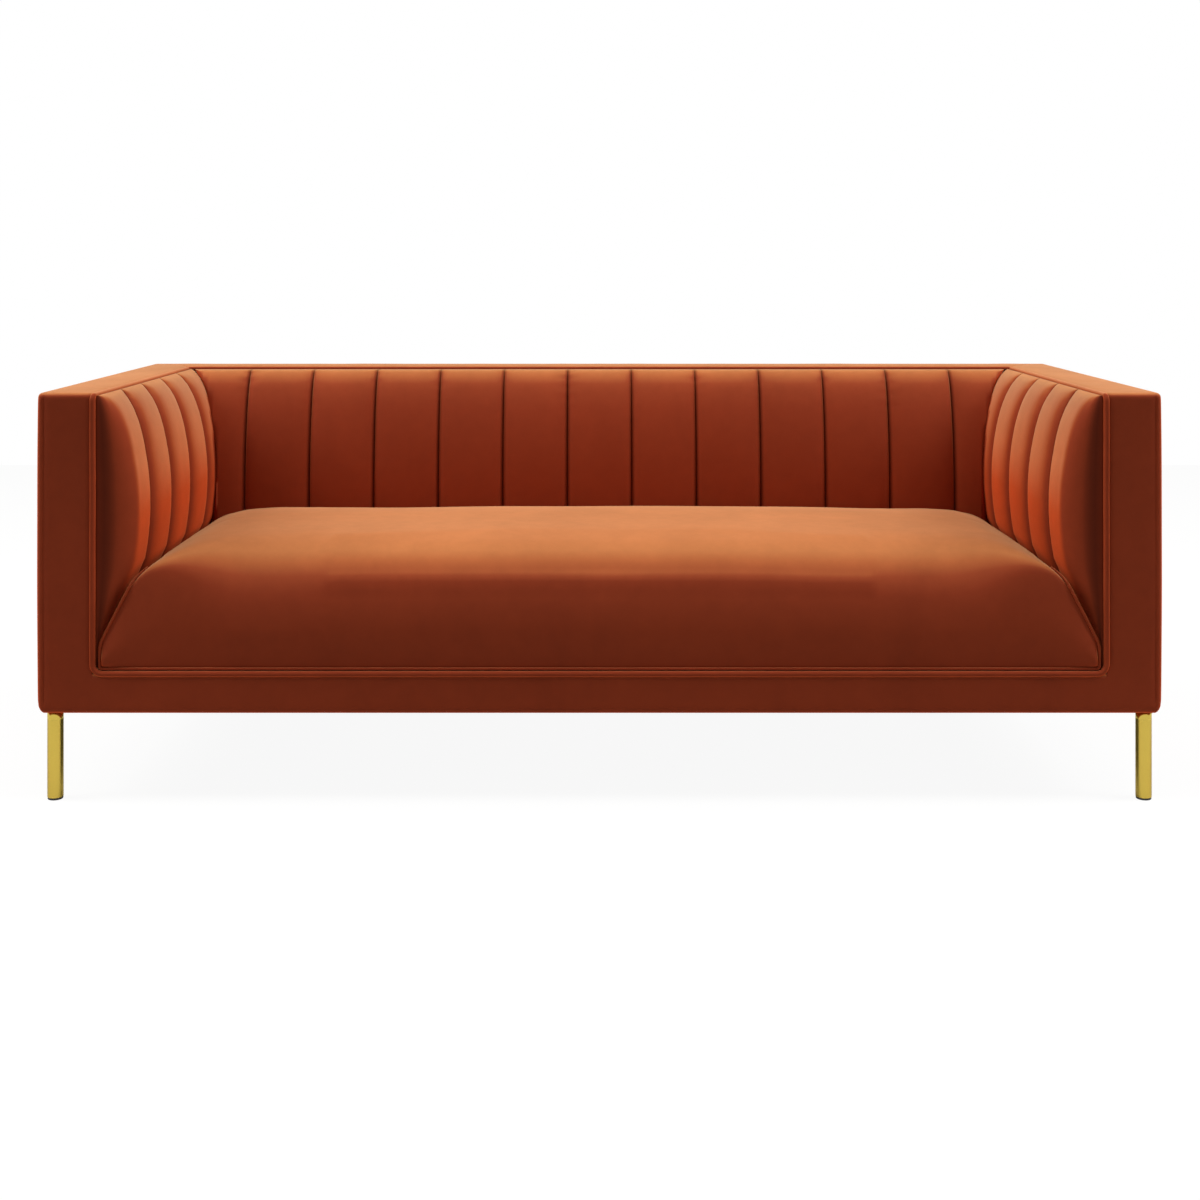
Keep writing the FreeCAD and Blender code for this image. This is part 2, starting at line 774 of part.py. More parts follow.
def build_arm_covers():
    """Padded cover of an arm: front, outer side, top and rear in one shell, turned in under the frame."""
    body = doc.addObject("PartDesign::Body", "ArmCover")
    top = size("overall_height")
    outer = half_width
    inside = half_width - size("cover_padding")
    depth = half_depth - panel_front
    outline = [(welt_seat_x, body_bottom), (outer, body_bottom), (outer, top), (welt_seat_x, top)]
    sketch = profile(body, "XZ_Plane", "ArmOutline", outline, -half_depth)
    base = feature(body, "Pad", "ArmBlock", sketch, depth)
    base = rounded(body, "HeelRound", base, size("cover_heel_radius"), {"x": outer, "z": body_bottom})
    corners = [{"x": outer, "y": end} for end in (panel_front, half_depth)]
    base = rounded(body, "CornerRound", base, size("cover_edge_radius"), *corners)
    rims = [{"z": top, "y": panel_front}, {"z": top, "x": outer}]
    base = rounded(body, "TopRound", base, size("cover_top_radius"), *rims)

    volume = body.Shape.Volume
    rear_inside = half_depth - size("cover_padding")
    open_side = welt_seat_x - OVERSHOOT
    hollow = [(open_side, frame_bottom), (inside, frame_bottom), (inside, frame_top), (open_side, frame_top)]
    sketch = profile(body, "XZ_Plane", "ArmHollowSection", hollow, -rear_inside)
    feature(body, "Pocket", "ArmHollow", sketch, rear_inside - frame_front, backwards=True)
    cuts(body, volume)

    volume = body.Shape.Volume
    margin = size("return_width")
    mouth = [
        (open_side, frame_front + margin),
        (half_width - margin, frame_front + margin),
        (half_width - margin, rear_inside - margin),
        (open_side, rear_inside - margin),
    ]
    sketch = profile(body, "XY_Plane", "ArmMouthOutline", mouth, body_bottom - OVERSHOOT)
    feature(body, "Pocket", "ArmMouth", sketch, size("cover_return") + OVERSHOOT, backwards=True)
    cuts(body, volume)
    bores = []
    for end_name in ENDS:
        start = (leg_x, leg_y[end_name], body_bottom - OVERSHOOT)
        bore = size("bolt_radius") + size("bolt_fit")
        bores.append(rod(f"cover_bore_{end_name}", bore, size("cover_return") + OVERSHOOT * 2, start))
    right = keep(drilled("arm_cover_right", body, bores), "arm_cover_right")
    keep(mirrored("arm_cover_left", right, (1, 0, 0)), "arm_cover_left")


def build_back_cover():
    """Padded cover of the back: top and rear as one bent sheet, turned in under the frame."""
    rear_inside = half_depth - size("cover_padding")
    top_front = back_welt_y + size("welt_radius") + gap
    margin = rear_inside - size("return_width")
    outline = [
        (top_front, frame_top),
        (rear_inside, frame_top),
        (rear_inside, frame_bottom),
        (margin, frame_bottom),
        (margin, body_bottom),
        (half_depth, body_bottom),
        (half_depth, size("overall_height")),
        (top_front, size("overall_height")),
    ]
    body = doc.addObject("PartDesign::Body", "BackCover")
    sketch = profile(body, "YZ_Plane", "BackSection", outline)
    base = feature(body, "Pad", "BackSheet", sketch, welt_seat_x * 2, both_sides=True)
    top_edge = {"y": half_depth, "z": size("overall_height")}
    base = rounded(body, "BackTopRound", base, size("cover_top_radius"), top_edge)
    rounded(body, "BackHeelRound", base, size("cover_edge_radius"), {"y": half_depth, "z": body_bottom})
    keep(body, "back_cover")


def build_front_rail_cover():
    """Padded cover of the front rail, turned in under it, with a flap turned over its top."""
    flap_top = rail_top + size("flap_thickness")
    margin = frame_front + size("return_width")
    outline = [
        (panel_front, body_bottom),
        (margin, body_bottom),
        (margin, frame_bottom),
        (frame_front, frame_bottom),
        (frame_front, flap_top),
        (panel_front, flap_top),
    ]
    body = doc.addObject("PartDesign::Body", "FrontRailCover")
    sketch = profile(body, "YZ_Plane", "RailSection", outline)
    base = feature(body, "Pad", "RailSheet", sketch, welt_seat_x * 2, both_sides=True)
    rounded(body, "RailHeelRound", base, size("cover_edge_radius"), {"y": panel_front, "z": body_bottom})
    flap_rear = frame_front + size("flap_depth")
    root = frame_front - size("cover_return")
    flap = [(root, rail_top), (flap_rear, rail_top), (flap_rear, flap_top), (root, flap_top)]
    sketch = profile(body, "YZ_Plane", "FlapSection", flap)
    feature(body, "Pad", "Flap", sketch, (arm_frame_inner - gap) * 2, both_sides=True)
    keep(body, "front_rail_cover")


def build_welts():
    """Piping: along the front rail and up both arm fronts, and round the inner top edge of arms and back."""
    radius = size("welt_radius").value
    turn = size("welt_turn").value
    x = float(welt_x)
    y = float(welt_y)
    high = float(welt_high)
    low = float(welt_low)
    front_top = high - turn - gap.value
    path = [(-x, front_top), (-x, low), (x, low), (x, front_top)]
    points = [FreeCAD.Vector(px, y, pz) for px, pz in path]
    keep(add_shape("front_welt", tube_along(points, radius, size("welt_bend").value)), "front_welt")
    rear = float(back_welt_y)
    points = [FreeCAD.Vector(-x, y, high - turn), FreeCAD.Vector(-x, y, high), FreeCAD.Vector(-x, rear, high)]
    points += [FreeCAD.Vector(-p.x, p.y, p.z) for p in points[::-1]]
    keep(add_shape("top_welt", tube_along(points, radius, turn)), "top_welt")


# Seat cushion


def build_cushion():
    """Loose bench cushion: crowned cover with a rolled front, foam core in it and piping on its front edge."""
    front = panel_front + size("cushion_front_inset") - size("welt_proud")
    pad_out = size("back_pad_depth") + size("back_pad_crown")
    rear = back_board_front - pad_out - size("cushion_back_gap")
    heel = inner_plane - size("cushion_side_gap")
    lean = size("arm_pad_crest") * lean_share()
    heel_z = cushion_bottom + size("pad_lean_bottom")
    shoulder_z = cushion_bottom + size("cushion_shoulder")
    slope = lean / (size("pad_lean_top") - size("pad_lean_bottom"))
    shoulder = heel - slope * (size("cushion_shoulder") - size("pad_lean_bottom"))
    edge = shoulder - size("cushion_edge_run")
    edge_z = shoulder_z + size("cushion_edge_rise")
    crown_z = edge_z + size("cushion_crown")

    body = doc.addObject("PartDesign::Body", "CushionCover")
    crown_radius = (edge * edge + size("cushion_crown") * size("cushion_crown")) / (size("cushion_crown") * 2)
    outline = [(heel, cushion_bottom), (heel, heel_z), (shoulder, shoulder_z), (edge, edge_z, crown_radius)]
    outline += [(-edge, edge_z), (-shoulder, shoulder_z), (-heel, heel_z), (-heel, cushion_bottom)]
    sketch = profile(body, "XZ_Plane", "CushionSection", outline, -rear)
    base = feature(body, "Pad", "CushionBlock", sketch, rear - front)
    corner_places = [{"x": side * float(heel), "z": cushion_bottom} for side in SIDES.values()]
    base = rounded(body, "CushionCorners", base, size("cushion_corner_radius"), *corner_places)
    shoulder_places = [{"x": side * float(shoulder), "z": shoulder_z} for side in SIDES.values()]
    shoulder_places += [{"x": side * float(edge), "z": edge_z} for side in SIDES.values()]
    base = rounded(body, "CushionShoulders", base, size("cushion_shoulder_radius"), *shoulder_places)
    for name, end, inward in (("Front", front, 1), ("Back", rear, -1)):
        volume = body.Shape.Volume
        roll = size(f"cushion_{name.lower()}_roll")
        tip = end - OVERSHOOT * inward
        inner = end + roll * inward
        over = crown_z + OVERSHOOT
        waste = [(end, crown_z - roll, -roll * inward), (inner, crown_z)]
        waste += [(inner, over), (tip, over), (tip, crown_z - roll)]
        sketch = profile(body, "YZ_Plane", f"{name}RollSection", waste)
        feature(body, "Pocket", f"{name}Roll", sketch, half_width * 2, both_sides=True)
        cuts(body, volume)

    wall = size("core_wall")
    floor = cushion_bottom + size("core_floor")
    roof = floor + size("core_height")
    roof_half = heel - slope * (size("core_floor") + size("core_height") - size("pad_lean_bottom")) - wall
    grow = size("core_gap")
    for name, extra in (("CoreCavity", grow), ("FoamCore", as_size(0))):
        outline = [
            (heel - wall + extra, floor - extra),
            (heel - wall + extra, heel_z),
            (roof_half + extra, roof + extra),
        ]
        outline += [(-x, z) for x, z in outline[::-1]]
        if name == "FoamCore":
            target = doc.addObject("PartDesign::Body", "FoamBlock")
            kind, backwards = "Pad", False
        else:
            target = body
            kind, backwards = "Pocket", True
        volume = target.Shape.Volume if kind == "Pocket" else 0
        sketch = profile(target, "XZ_Plane", f"{name}Section", outline, -(rear - wall + extra))
        length = rear - front - wall - size("core_front_wall") + extra * 2
        feature(target, kind, name, sketch, length, backwards=backwards)
        if kind == "Pocket":
            cuts(target, volume)
    keep(body, "seat_cushion_cover")
    keep(target, "seat_cushion_core")

    radius = size("cushion_welt_radius").value
    y = float(front) - radius - gap.value
    inset = radius / 2
    lowest = float(cushion_bottom) + radius
    points = [
        (float(shoulder) - inset, float(shoulder_z) - inset),
        (float(heel) - inset, float(heel_z) - inset),
        (float(heel) - inset, lowest),
    ]
    points += [(-x, z) for x, z in points[::-1]]
    vectors = [FreeCAD.Vector(px, y, pz) for px, pz in points]
    welt = tube_along(vectors, radius, size("cushion_corner_radius").value)
    keep(add_shape("seat_cushion_welt", welt), "seat_cushion_welt")


def lean_share():
    """What share of the arm pad's full depth stands out at the top of its leaning part, as a formula."""
    rise = (size("arm_pad_widest") - cushion_bottom - size("pad_lean_top")) / size("arm_pad_lower_reach")
    return Size(math.sqrt(1 - rise.value**2), f"sqrt(1 - {rise.formula} * {rise.formula})")


# Legs


def build_legs():
    """Round tube legs with a closed top, a hanger bolt up into the post, and a plug glide in the foot."""
    outer = size("leg_diameter") / 2
    inner = outer - size("leg_wall")
    top = body_bottom
    cap = top - size("leg_cap")
    foot = size("glide_flange")
    leg_outline = [(0, cap), (inner, cap), (inner, foot), (outer, foot), (outer, top), (0, top)]
    flange = size("glide_flange_radius")
    stem = inner - gap
    glide_outline = [
        (0, 0),
        (flange, 0),
        (flange, foot),
        (stem, foot),
        (stem, foot + size("glide_stem")),
        (0, foot + size("glide_stem")),
    ]
    bolts, glides = [], []
    for end_name in ENDS:
        for side_name, side in SIDES.items():
            place = (leg_x * side, leg_y[end_name])
            name = f"leg_{end_name}_{side_name}"
            keep(turned_at(name, leg_outline, place), name)
            glides.append(turned_at(f"glide_{end_name}_{side_name}", glide_outline, place))
            reach = size("cover_return") + size("bolt_reach")
            bolts.append(rod("hanger_bolt", size("bolt_radius"), reach, (*place, top)))
    keep(compound("foot_glides", glides), "foot_glides")
    keep(compound("leg_bolts", bolts), "leg_bolts")


def turned_at(name, outline, place):
    """A turned piece with its upright axis at the given place."""
    body = doc.addObject("PartDesign::Body", name)
    revolved(body, f"{name}_turned", profile(body, "XZ_Plane", f"{name}_section", outline))
    bind(body, "Placement.Base.x", place[0])
    bind(body, "Placement.Base.y", place[1])
    return body


def check_and_write():
    """Stop on any failed object or bad shape, then write one STEP file for each sub-part."""
    doc.recompute()
    for item in doc.Objects:
        if "Invalid" in item.State or "Error" in item.State:
            raise RuntimeError(f"{item.Name} failed: {item.State}")
    for item in subparts:
        if item.Shape.isNull() or not item.Shape.isValid():
            raise RuntimeError(f"{item.Label} has no valid shape")
        if not item.Shape.Solids:
            raise RuntimeError(f"{item.Label} has no solid")
    os.makedirs("parts", exist_ok=True)
    for item in subparts:
        item.Shape.exportStep(f"parts/{item.Label}.step")
    print(len(subparts), "sub-parts written")


build_frame()
build_boards()
build_springs()
build_deck()
build_pads()
build_arm_covers()
build_back_cover()
build_front_rail_cover()
build_welts()
build_cushion()
build_legs()
check_and_write()
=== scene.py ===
"""Looks of the tuxedo sofa: velvet cover, channel pads, piping, bench cushion, gold legs and the stage.

Metres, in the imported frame: X along the sofa, +Y towards its back, +Z up, origin on the floor.
"""

import json
import math
from functools import partial

import bmesh
import bpy
import numpy as np
from bpy.props import FloatProperty, FloatVectorProperty, PointerProperty
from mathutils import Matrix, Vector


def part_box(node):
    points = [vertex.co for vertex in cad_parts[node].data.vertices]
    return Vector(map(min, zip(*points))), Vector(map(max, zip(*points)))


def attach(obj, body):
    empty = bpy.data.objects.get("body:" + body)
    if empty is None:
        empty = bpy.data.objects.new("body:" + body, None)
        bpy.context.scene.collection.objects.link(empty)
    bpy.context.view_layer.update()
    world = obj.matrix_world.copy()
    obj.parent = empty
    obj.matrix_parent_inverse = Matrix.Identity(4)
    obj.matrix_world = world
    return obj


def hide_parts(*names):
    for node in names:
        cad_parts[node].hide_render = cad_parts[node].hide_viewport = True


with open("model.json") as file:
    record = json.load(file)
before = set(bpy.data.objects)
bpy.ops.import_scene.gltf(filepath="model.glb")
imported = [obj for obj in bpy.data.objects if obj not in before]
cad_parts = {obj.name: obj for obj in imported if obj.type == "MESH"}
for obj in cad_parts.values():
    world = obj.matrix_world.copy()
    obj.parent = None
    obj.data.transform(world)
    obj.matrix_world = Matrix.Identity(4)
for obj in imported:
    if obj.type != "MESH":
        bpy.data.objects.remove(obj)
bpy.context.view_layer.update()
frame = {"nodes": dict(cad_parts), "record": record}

bl_info = {
    "name": "Tuxedo sofa",
    "version": (1, 0, 0),
    "blender": (4, 5, 0),
    "location": "3D View > Sidebar > Sofa",
    "description": "Builds the upholstery, piping, legs and stage of a tuxedo sofa on its packed frame",
    "category": "Object",
}

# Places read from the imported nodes
COVER_LOW, COVER_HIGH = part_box("arm_cover_right")
HALF_WIDTH = COVER_HIGH.x
FRONT = COVER_LOW.y
REAR = COVER_HIGH.y
BOTTOM = COVER_LOW.z - 0.0038
TOP = COVER_HIGH.z
WELT_LOW, WELT_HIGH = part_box("front_welt")
WELT_FRONT = WELT_LOW.y
BOARD_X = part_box("arm_inner_board_right")[0].x
BOARD_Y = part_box("back_inner_board")[0].y
PAD_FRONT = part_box("arm_channel_pad_right")[0].y
PAD_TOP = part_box("back_channel_pad")[1].z
DECK_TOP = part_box("deck_cloth")[1].z
CUSHION_LOW, CUSHION_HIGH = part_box("seat_cushion_cover")
BACK_TOP_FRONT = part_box("back_cover")[0].y

# Fixed measures of the upholstery
COVER_WALL = 0.003
FACE_SWELL = 0.003
CORNER_SWELL = 0.002
TURN_UNDER = ((0.05, BOTTOM + 0.0008), (0.034, BOTTOM))
WELT_DIP = 0.0045
SEAM_WIDTH = 0.0016
SEAM_DEPTH = 0.0018
SEAM_SHADE = 0.004
PAD_SHOULDER = 0.490
ARM_WIDEST = 0.545
ARM_LOWER_REACH = 0.223
ARM_LEAN_FOOT = DECK_TOP + 0.048
ARM_LEAN_TOP = DECK_TOP + 0.190
PAD_FOOT = 0.0014
FRONT_LAP = 0.0016
CUSHION_REAR_ROOM = 0.0012
CUSHION_REAR_ROLL = 0.042
STUFFING_LIMIT = 0.006
FLANGE_RADIUS = 0.0026
TUBE_WALL = 0.0015
GLIDE_RADIUS = 0.0144
GLIDE_STEM = 0.0131
CLOTH_FRAMES = 20

Length = partial(FloatProperty, unit="LENGTH")
Colour = partial(FloatVectorProperty, subtype="COLOR", size=3)


class SofaSizes(bpy.types.PropertyGroup):
    """Sizes of the upholstery that a user may change."""

    welt_radius: Length(name="Piping radius", description="Radius of the piping", default=0.0055)
    welt_corner: Length(name="Piping corner", description="Bend of its lower corners", default=0.019)
    corner_round: Length(name="Corner rounding", description="Rounding of the upright corners", default=0.012)
    heel_round: Length(name="Heel rounding", description="Rounding of the lower side edges", default=0.02)
    top_round: Length(name="Top rounding", description="Rounding of the top outer edges", default=0.009)
    channel_crown: Length(name="Back channel crown", description="Rise of a back channel", default=0.014)
    arm_crown: Length(name="Arm channel crown", description="Rise of an arm channel", default=0.016)
    arm_crest: Length(name="Arm pad depth", description="Depth at the widest height", default=0.085)
    arm_taper: Length(name="Arm taper", description="Thinning of an arm pad to its front", default=0.017)
    arm_roll: Length(name="Arm front roll", description="Depth of an arm pad's front roll", default=0.045)
    back_depth: Length(name="Back pad depth", description="Depth of the back pad at its seams", default=0.090)
    pucker: Length(name="Pucker", description="Height of the small gathers beside a seam", default=0.0011)
    cushion_roll: Length(name="Cushion roll", description="Radius of the cushion's front roll", default=0.1)
    cushion_edge: Length(name="Cushion edge", description="Rounding of its sewn edges", default=0.0055)
    cushion_fall: Length(name="Cushion fall", description="Drop towards the back pad", default=0.0145)
    cushion_crown: Length(name="Cushion crown", description="Rise towards its middle", default=0.009)


class SofaColours(bpy.types.PropertyGroup):
    """Colours of the sofa that a user may change."""

    velvet: Colour(name="Velvet", description="Pile on upright faces", default=(0.26, 0.036, 0.0102))
    # Painted light: the lighter colour given to faces that look up, standing in for the strong light from
    # above
    painted_top_light: Colour(name="Velvet nap", description="Pile on faces that look up", default=(0.555, 0.19, 0.066))
    sheen: Colour(name="Velvet sheen", description="Light at low angles", default=(1.0, 0.69, 0.30))
    gold: Colour(name="Gold", description="Plated tube of the legs", default=(0.60, 0.44, 0.08))
    glide: Colour(name="Glide", description="Plug in the foot of a leg", default=(0.012, 0.012, 0.013))


# Surfaces


def smooth_step(low, high, value):
    """0 below low, 1 above high, and the cubic 3t^2 - 2t^3 between them."""
    share = np.clip((value - low) / (high - low), 0, 1)
    return share * share * (3 - 2 * share)


def ripple(x, y, z):
    """A slow unevenness between -1 and 1: the mean of five sine waves in fixed, unrelated directions."""
    waves = (
        np.sin(9.1 * x + 4.3 * y + 5.2 * z + 0.7)
        + np.sin(-6.7 * x + 8.9 * y + 3.1 * z + 2.9)
        + np.sin(14.3 * x - 5.5 * y + 11.9 * z + 4.1)
        + np.sin(3.9 * x + 16.1 * y - 9.7 * z + 1.3)
        + np.sin(21.7 * x + 7.3 * y + 6.1 * z + 5.6)
    )
    return waves / 5


def rounded_path(corners, radii, step, closed=False):
    """Points a step apart along straight runs whose corners are turned by tangent arcs.

    At a corner of half angle h, an arc of radius r starts r / tan(h) before it, about a centre that is
    r / sin(h) away.
    """
    corners = np.asarray(corners, float)
    count = len(corners)
    turning = range(count) if closed else range(1, count - 1)
    runs = [] if closed else [corners[:1]]
    shares = np.linspace(0, 1, 13)[:, None]
    for index in turning:
        corner = corners[index]
        before = corners[index - 1] - corner
        after = corners[(index + 1) % count] - corner
        before = before / np.linalg.norm(before)
        after = after / np.linalg.norm(after)
        half = math.acos(float(np.clip(before @ after, -1, 1))) / 2
        radius = radii[index]
        middle = before + after
        centre = corner + middle / np.linalg.norm(middle) * radius / math.sin(half)
        first = corner + before * radius / math.tan(half) - centre
        last = corner + after * radius / math.tan(half) - centre
        sweep = math.pi - 2 * half
        arc = (np.sin((1 - shares) * sweep) * first + np.sin(shares * sweep) * last) / math.sin(sweep)
        runs.append(centre + arc)
    runs.append(runs[0][:1] if closed else corners[-1:])
    path = np.concatenate(runs)
    return even_path(path, step, closed)


def even_path(path, step, closed=False):
    """The same line with its points evenly apart, each found by its length along the line."""
    lengths = np.concatenate([[0], np.cumsum(np.linalg.norm(np.diff(path, axis=0), axis=1))])
    count = max(2, round(lengths[-1] / step) + 1)
    places = np.linspace(0, lengths[-1], count)
    if closed:
        places = places[:-1]
    return np.stack([np.interp(places, lengths, path[:, axis]) for axis in range(3)], axis=1)


class Skin:
    """Grids of points that are sewn into one mesh."""

    def __init__(self):
        self.points = []
        self.faces = []
        self.count = 0

    def grid(self, points, closed=False):
        """Add quads between neighbours of an array of rows and columns, wrapped round if closed."""
        rows, columns = points.shape[:2]
        numbers = self.count + np.arange(rows * columns).reshape(rows, columns)
        if closed:
            numbers = np.concatenate([numbers, numbers[:, :1]], axis=1)
        corners = (numbers[:-1, :-1], numbers[:-1, 1:], numbers[1:, 1:], numbers[1:, :-1])
        self.faces += np.stack(corners, -1).reshape(-1, 4).tolist()
        self.points.append(points.reshape(-1, 3))
        self.count += rows * columns
        return numbers

    def capped(self, points):
        """Add a grid that is wrapped round, with one face over its first row and one over its last."""
        numbers = self.grid(points, closed=True)
        self.faces += [numbers[0, :-1].tolist(), numbers[-1, :-1].tolist()]

    def mirror(self):
        """Add the mirror image of everything so far in the plane X = 0."""
        points = np.concatenate(self.points)
        faces = [[self.count + corner for corner in face[::-1]] for face in self.faces]
        self.points.append(points * (-1, 1, 1))
        self.faces += faces
        self.count *= 2

    def piece(self, name, material):
        """The finished object: neighbours merged, normals outwards, smooth."""
        mesh = bpy.data.meshes.new(name)
        mesh.from_pydata(np.concatenate(self.points).tolist(), [], self.faces)
        made = bmesh.new()
        made.from_mesh(mesh)
        bmesh.ops.remove_doubles(made, verts=made.verts, dist=2e-5)
        bmesh.ops.dissolve_degenerate(made, edges=made.edges, dist=1e-6)
        bmesh.ops.recalc_face_normals(made, faces=made.faces)
        made.to_mesh(mesh)
        made.free()
        mesh.shade_smooth()
        item = bpy.data.objects.new(name, mesh)
        bpy.context.scene.collection.objects.link(item)
        mesh.materials.append(material)
        return item


def tube(skin, path, radius, sides, closed=False):
    """A cord: at each point of the path, a circle of the radius across the way there."""
    if closed:
        along = np.roll(path, -1, axis=0) - np.roll(path, 1, axis=0)
    else:
        along = np.gradient(path, axis=0)
    along /= np.linalg.norm(along, axis=1)[:, None]
    across = np.cross(along, np.array([0.61, 0.55, -0.57]))
    across /= np.linalg.norm(across, axis=1)[:, None]
    beside = np.cross(along, across)
    turns = np.linspace(0, 2 * math.pi, sides, endpoint=False)[None, :, None]
    rings = path[:, None] + (np.cos(turns) * across[:, None] + np.sin(turns) * beside[:, None]) * radius
    if closed:
        skin.grid(np.concatenate([rings, rings[:1]]), closed=True)
    else:
        skin.capped(rings)


def turned(skin, outline, places, sides):
    """Turned pieces: the outline's (radius, height) points swept once round an upright axis at each place."""
    outline = np.asarray(outline, float)
    turns = np.linspace(0, 2 * math.pi, sides, endpoint=False)
    for x, y in places:
        rings = np.zeros((len(outline), sides, 3))
        rings[..., 0] = x + outline[:, :1] * np.cos(turns)
        rings[..., 1] = y + outline[:, :1] * np.sin(turns)
        rings[..., 2] = outline[:, 1:]
        skin.capped(rings)


# Materials


class Wire:
    """A socket of a shader that takes part in sums: each operator adds the Math node that works it out."""

    def __init__(self, shader, socket):
        self.shader = shader
        self.socket = socket

    def maths(self, operation, first, second):
        return self.shader.node("ShaderNodeMath", {"operation": operation}, {0: first, 1: second})

    def __add__(self, other):
        return self.maths("ADD", self, other)

    def __sub__(self, other):
        return self.maths("SUBTRACT", self, other)

    def __rsub__(self, other):
        return self.maths("SUBTRACT", other, self)

    def __mul__(self, other):
        return self.maths("MULTIPLY", self, other)

    def __pow__(self, other):
        return self.maths("POWER", self, other)

    __radd__ = __add__
    __rmul__ = __mul__


class Shader:
    """The node tree of one material. Every node comes from node()."""

    def __init__(self, name):
        self.material = bpy.data.materials.new(name)
        self.material.use_nodes = True
        self.tree = self.material.node_tree
        self.tree.nodes.clear()

    def node(self, kind, settings=None, values=None, output=0):
        """Add a node with its settings and its sockets' values or links, and return one output."""
        made = self.tree.nodes.new(kind)
        for name, value in (settings or {}).items():
            setattr(made, name, value)
        for key, value in (values or {}).items():
            if isinstance(value, Wire):
                self.tree.links.new(value.socket, made.inputs[key])
            else:
                made.inputs[key].default_value = value
        return Wire(self, made.outputs[output])

    def place(self, stretch=(1, 1, 1)):
        """Object coordinates, stretched along each axis."""
        where = self.node("ShaderNodeTexCoord", output=3)
        return self.node("ShaderNodeMapping", None, {"Vector": where, "Scale": stretch})

    def noise(self, where, scale, detail=2.0, roughness=0.5, distortion=0.0):
        """Noise between 0 and 1."""
        values = {"Vector": where, "Scale": scale, "Detail": detail, "Roughness": roughness}
        return self.node("ShaderNodeTexNoise", None, {**values, "Distortion": distortion})

    def steps(self, value, low, high):
        """0 below low and 1 above high, smoothly."""
        values = {"Value": value, "From Min": low, "From Max": high, "To Min": 0.0, "To Max": 1.0}
        return self.node("ShaderNodeMapRange", {"interpolation_type": "SMOOTHSTEP"}, values)

    def ramp(self, share, stops):
        """A colour that runs through the (place, colour) stops."""
        out = self.node("ShaderNodeValToRGB", None, {0: share})
        band = out.socket.node.color_ramp
        while len(band.elements) < len(stops):
            band.elements.new(1.0)
        for element, (place, colour) in zip(band.elements, stops):
            element.position = place
            element.color = (*colour, 1)
        return out

    def mixed(self, share, *ends):
        """A colour that turns from the first end to the second by the share."""
        low, high = [end if isinstance(end, Wire) else (*end, 1) for end in ends]
        return self.node("ShaderNodeMix", {"data_type": "RGBA"}, {0: share, 6: low, 7: high}, output=2)

    def bump(self, height, distance, strength=1.0):
        """A normal that follows the height."""
        values = {"Strength": strength, "Distance": distance, "Height": height}
        return self.node("ShaderNodeBump", None, values)

    def surface(self, **values):
        """The principled surface, whose sockets are named with underscores, as the material's output."""
        named = {}
        for key, value in values.items():
            if isinstance(value, tuple) and len(value) == 3:
                value = (*value, 1)
            named[key.replace("_", " ")] = value
        shade = self.node("ShaderNodeBsdfPrincipled", None, named)
        self.node_output(shade)
        return self.material

    def node_output(self, shade):
        """End the tree in a shader."""
        end = self.tree.nodes.new("ShaderNodeOutputMaterial")
        self.tree.links.new(shade.socket, end.inputs["Surface"])


def scaled(colour, factor):
    """A colour made lighter or darker."""
    return tuple(float(channel) * factor for channel in colour)


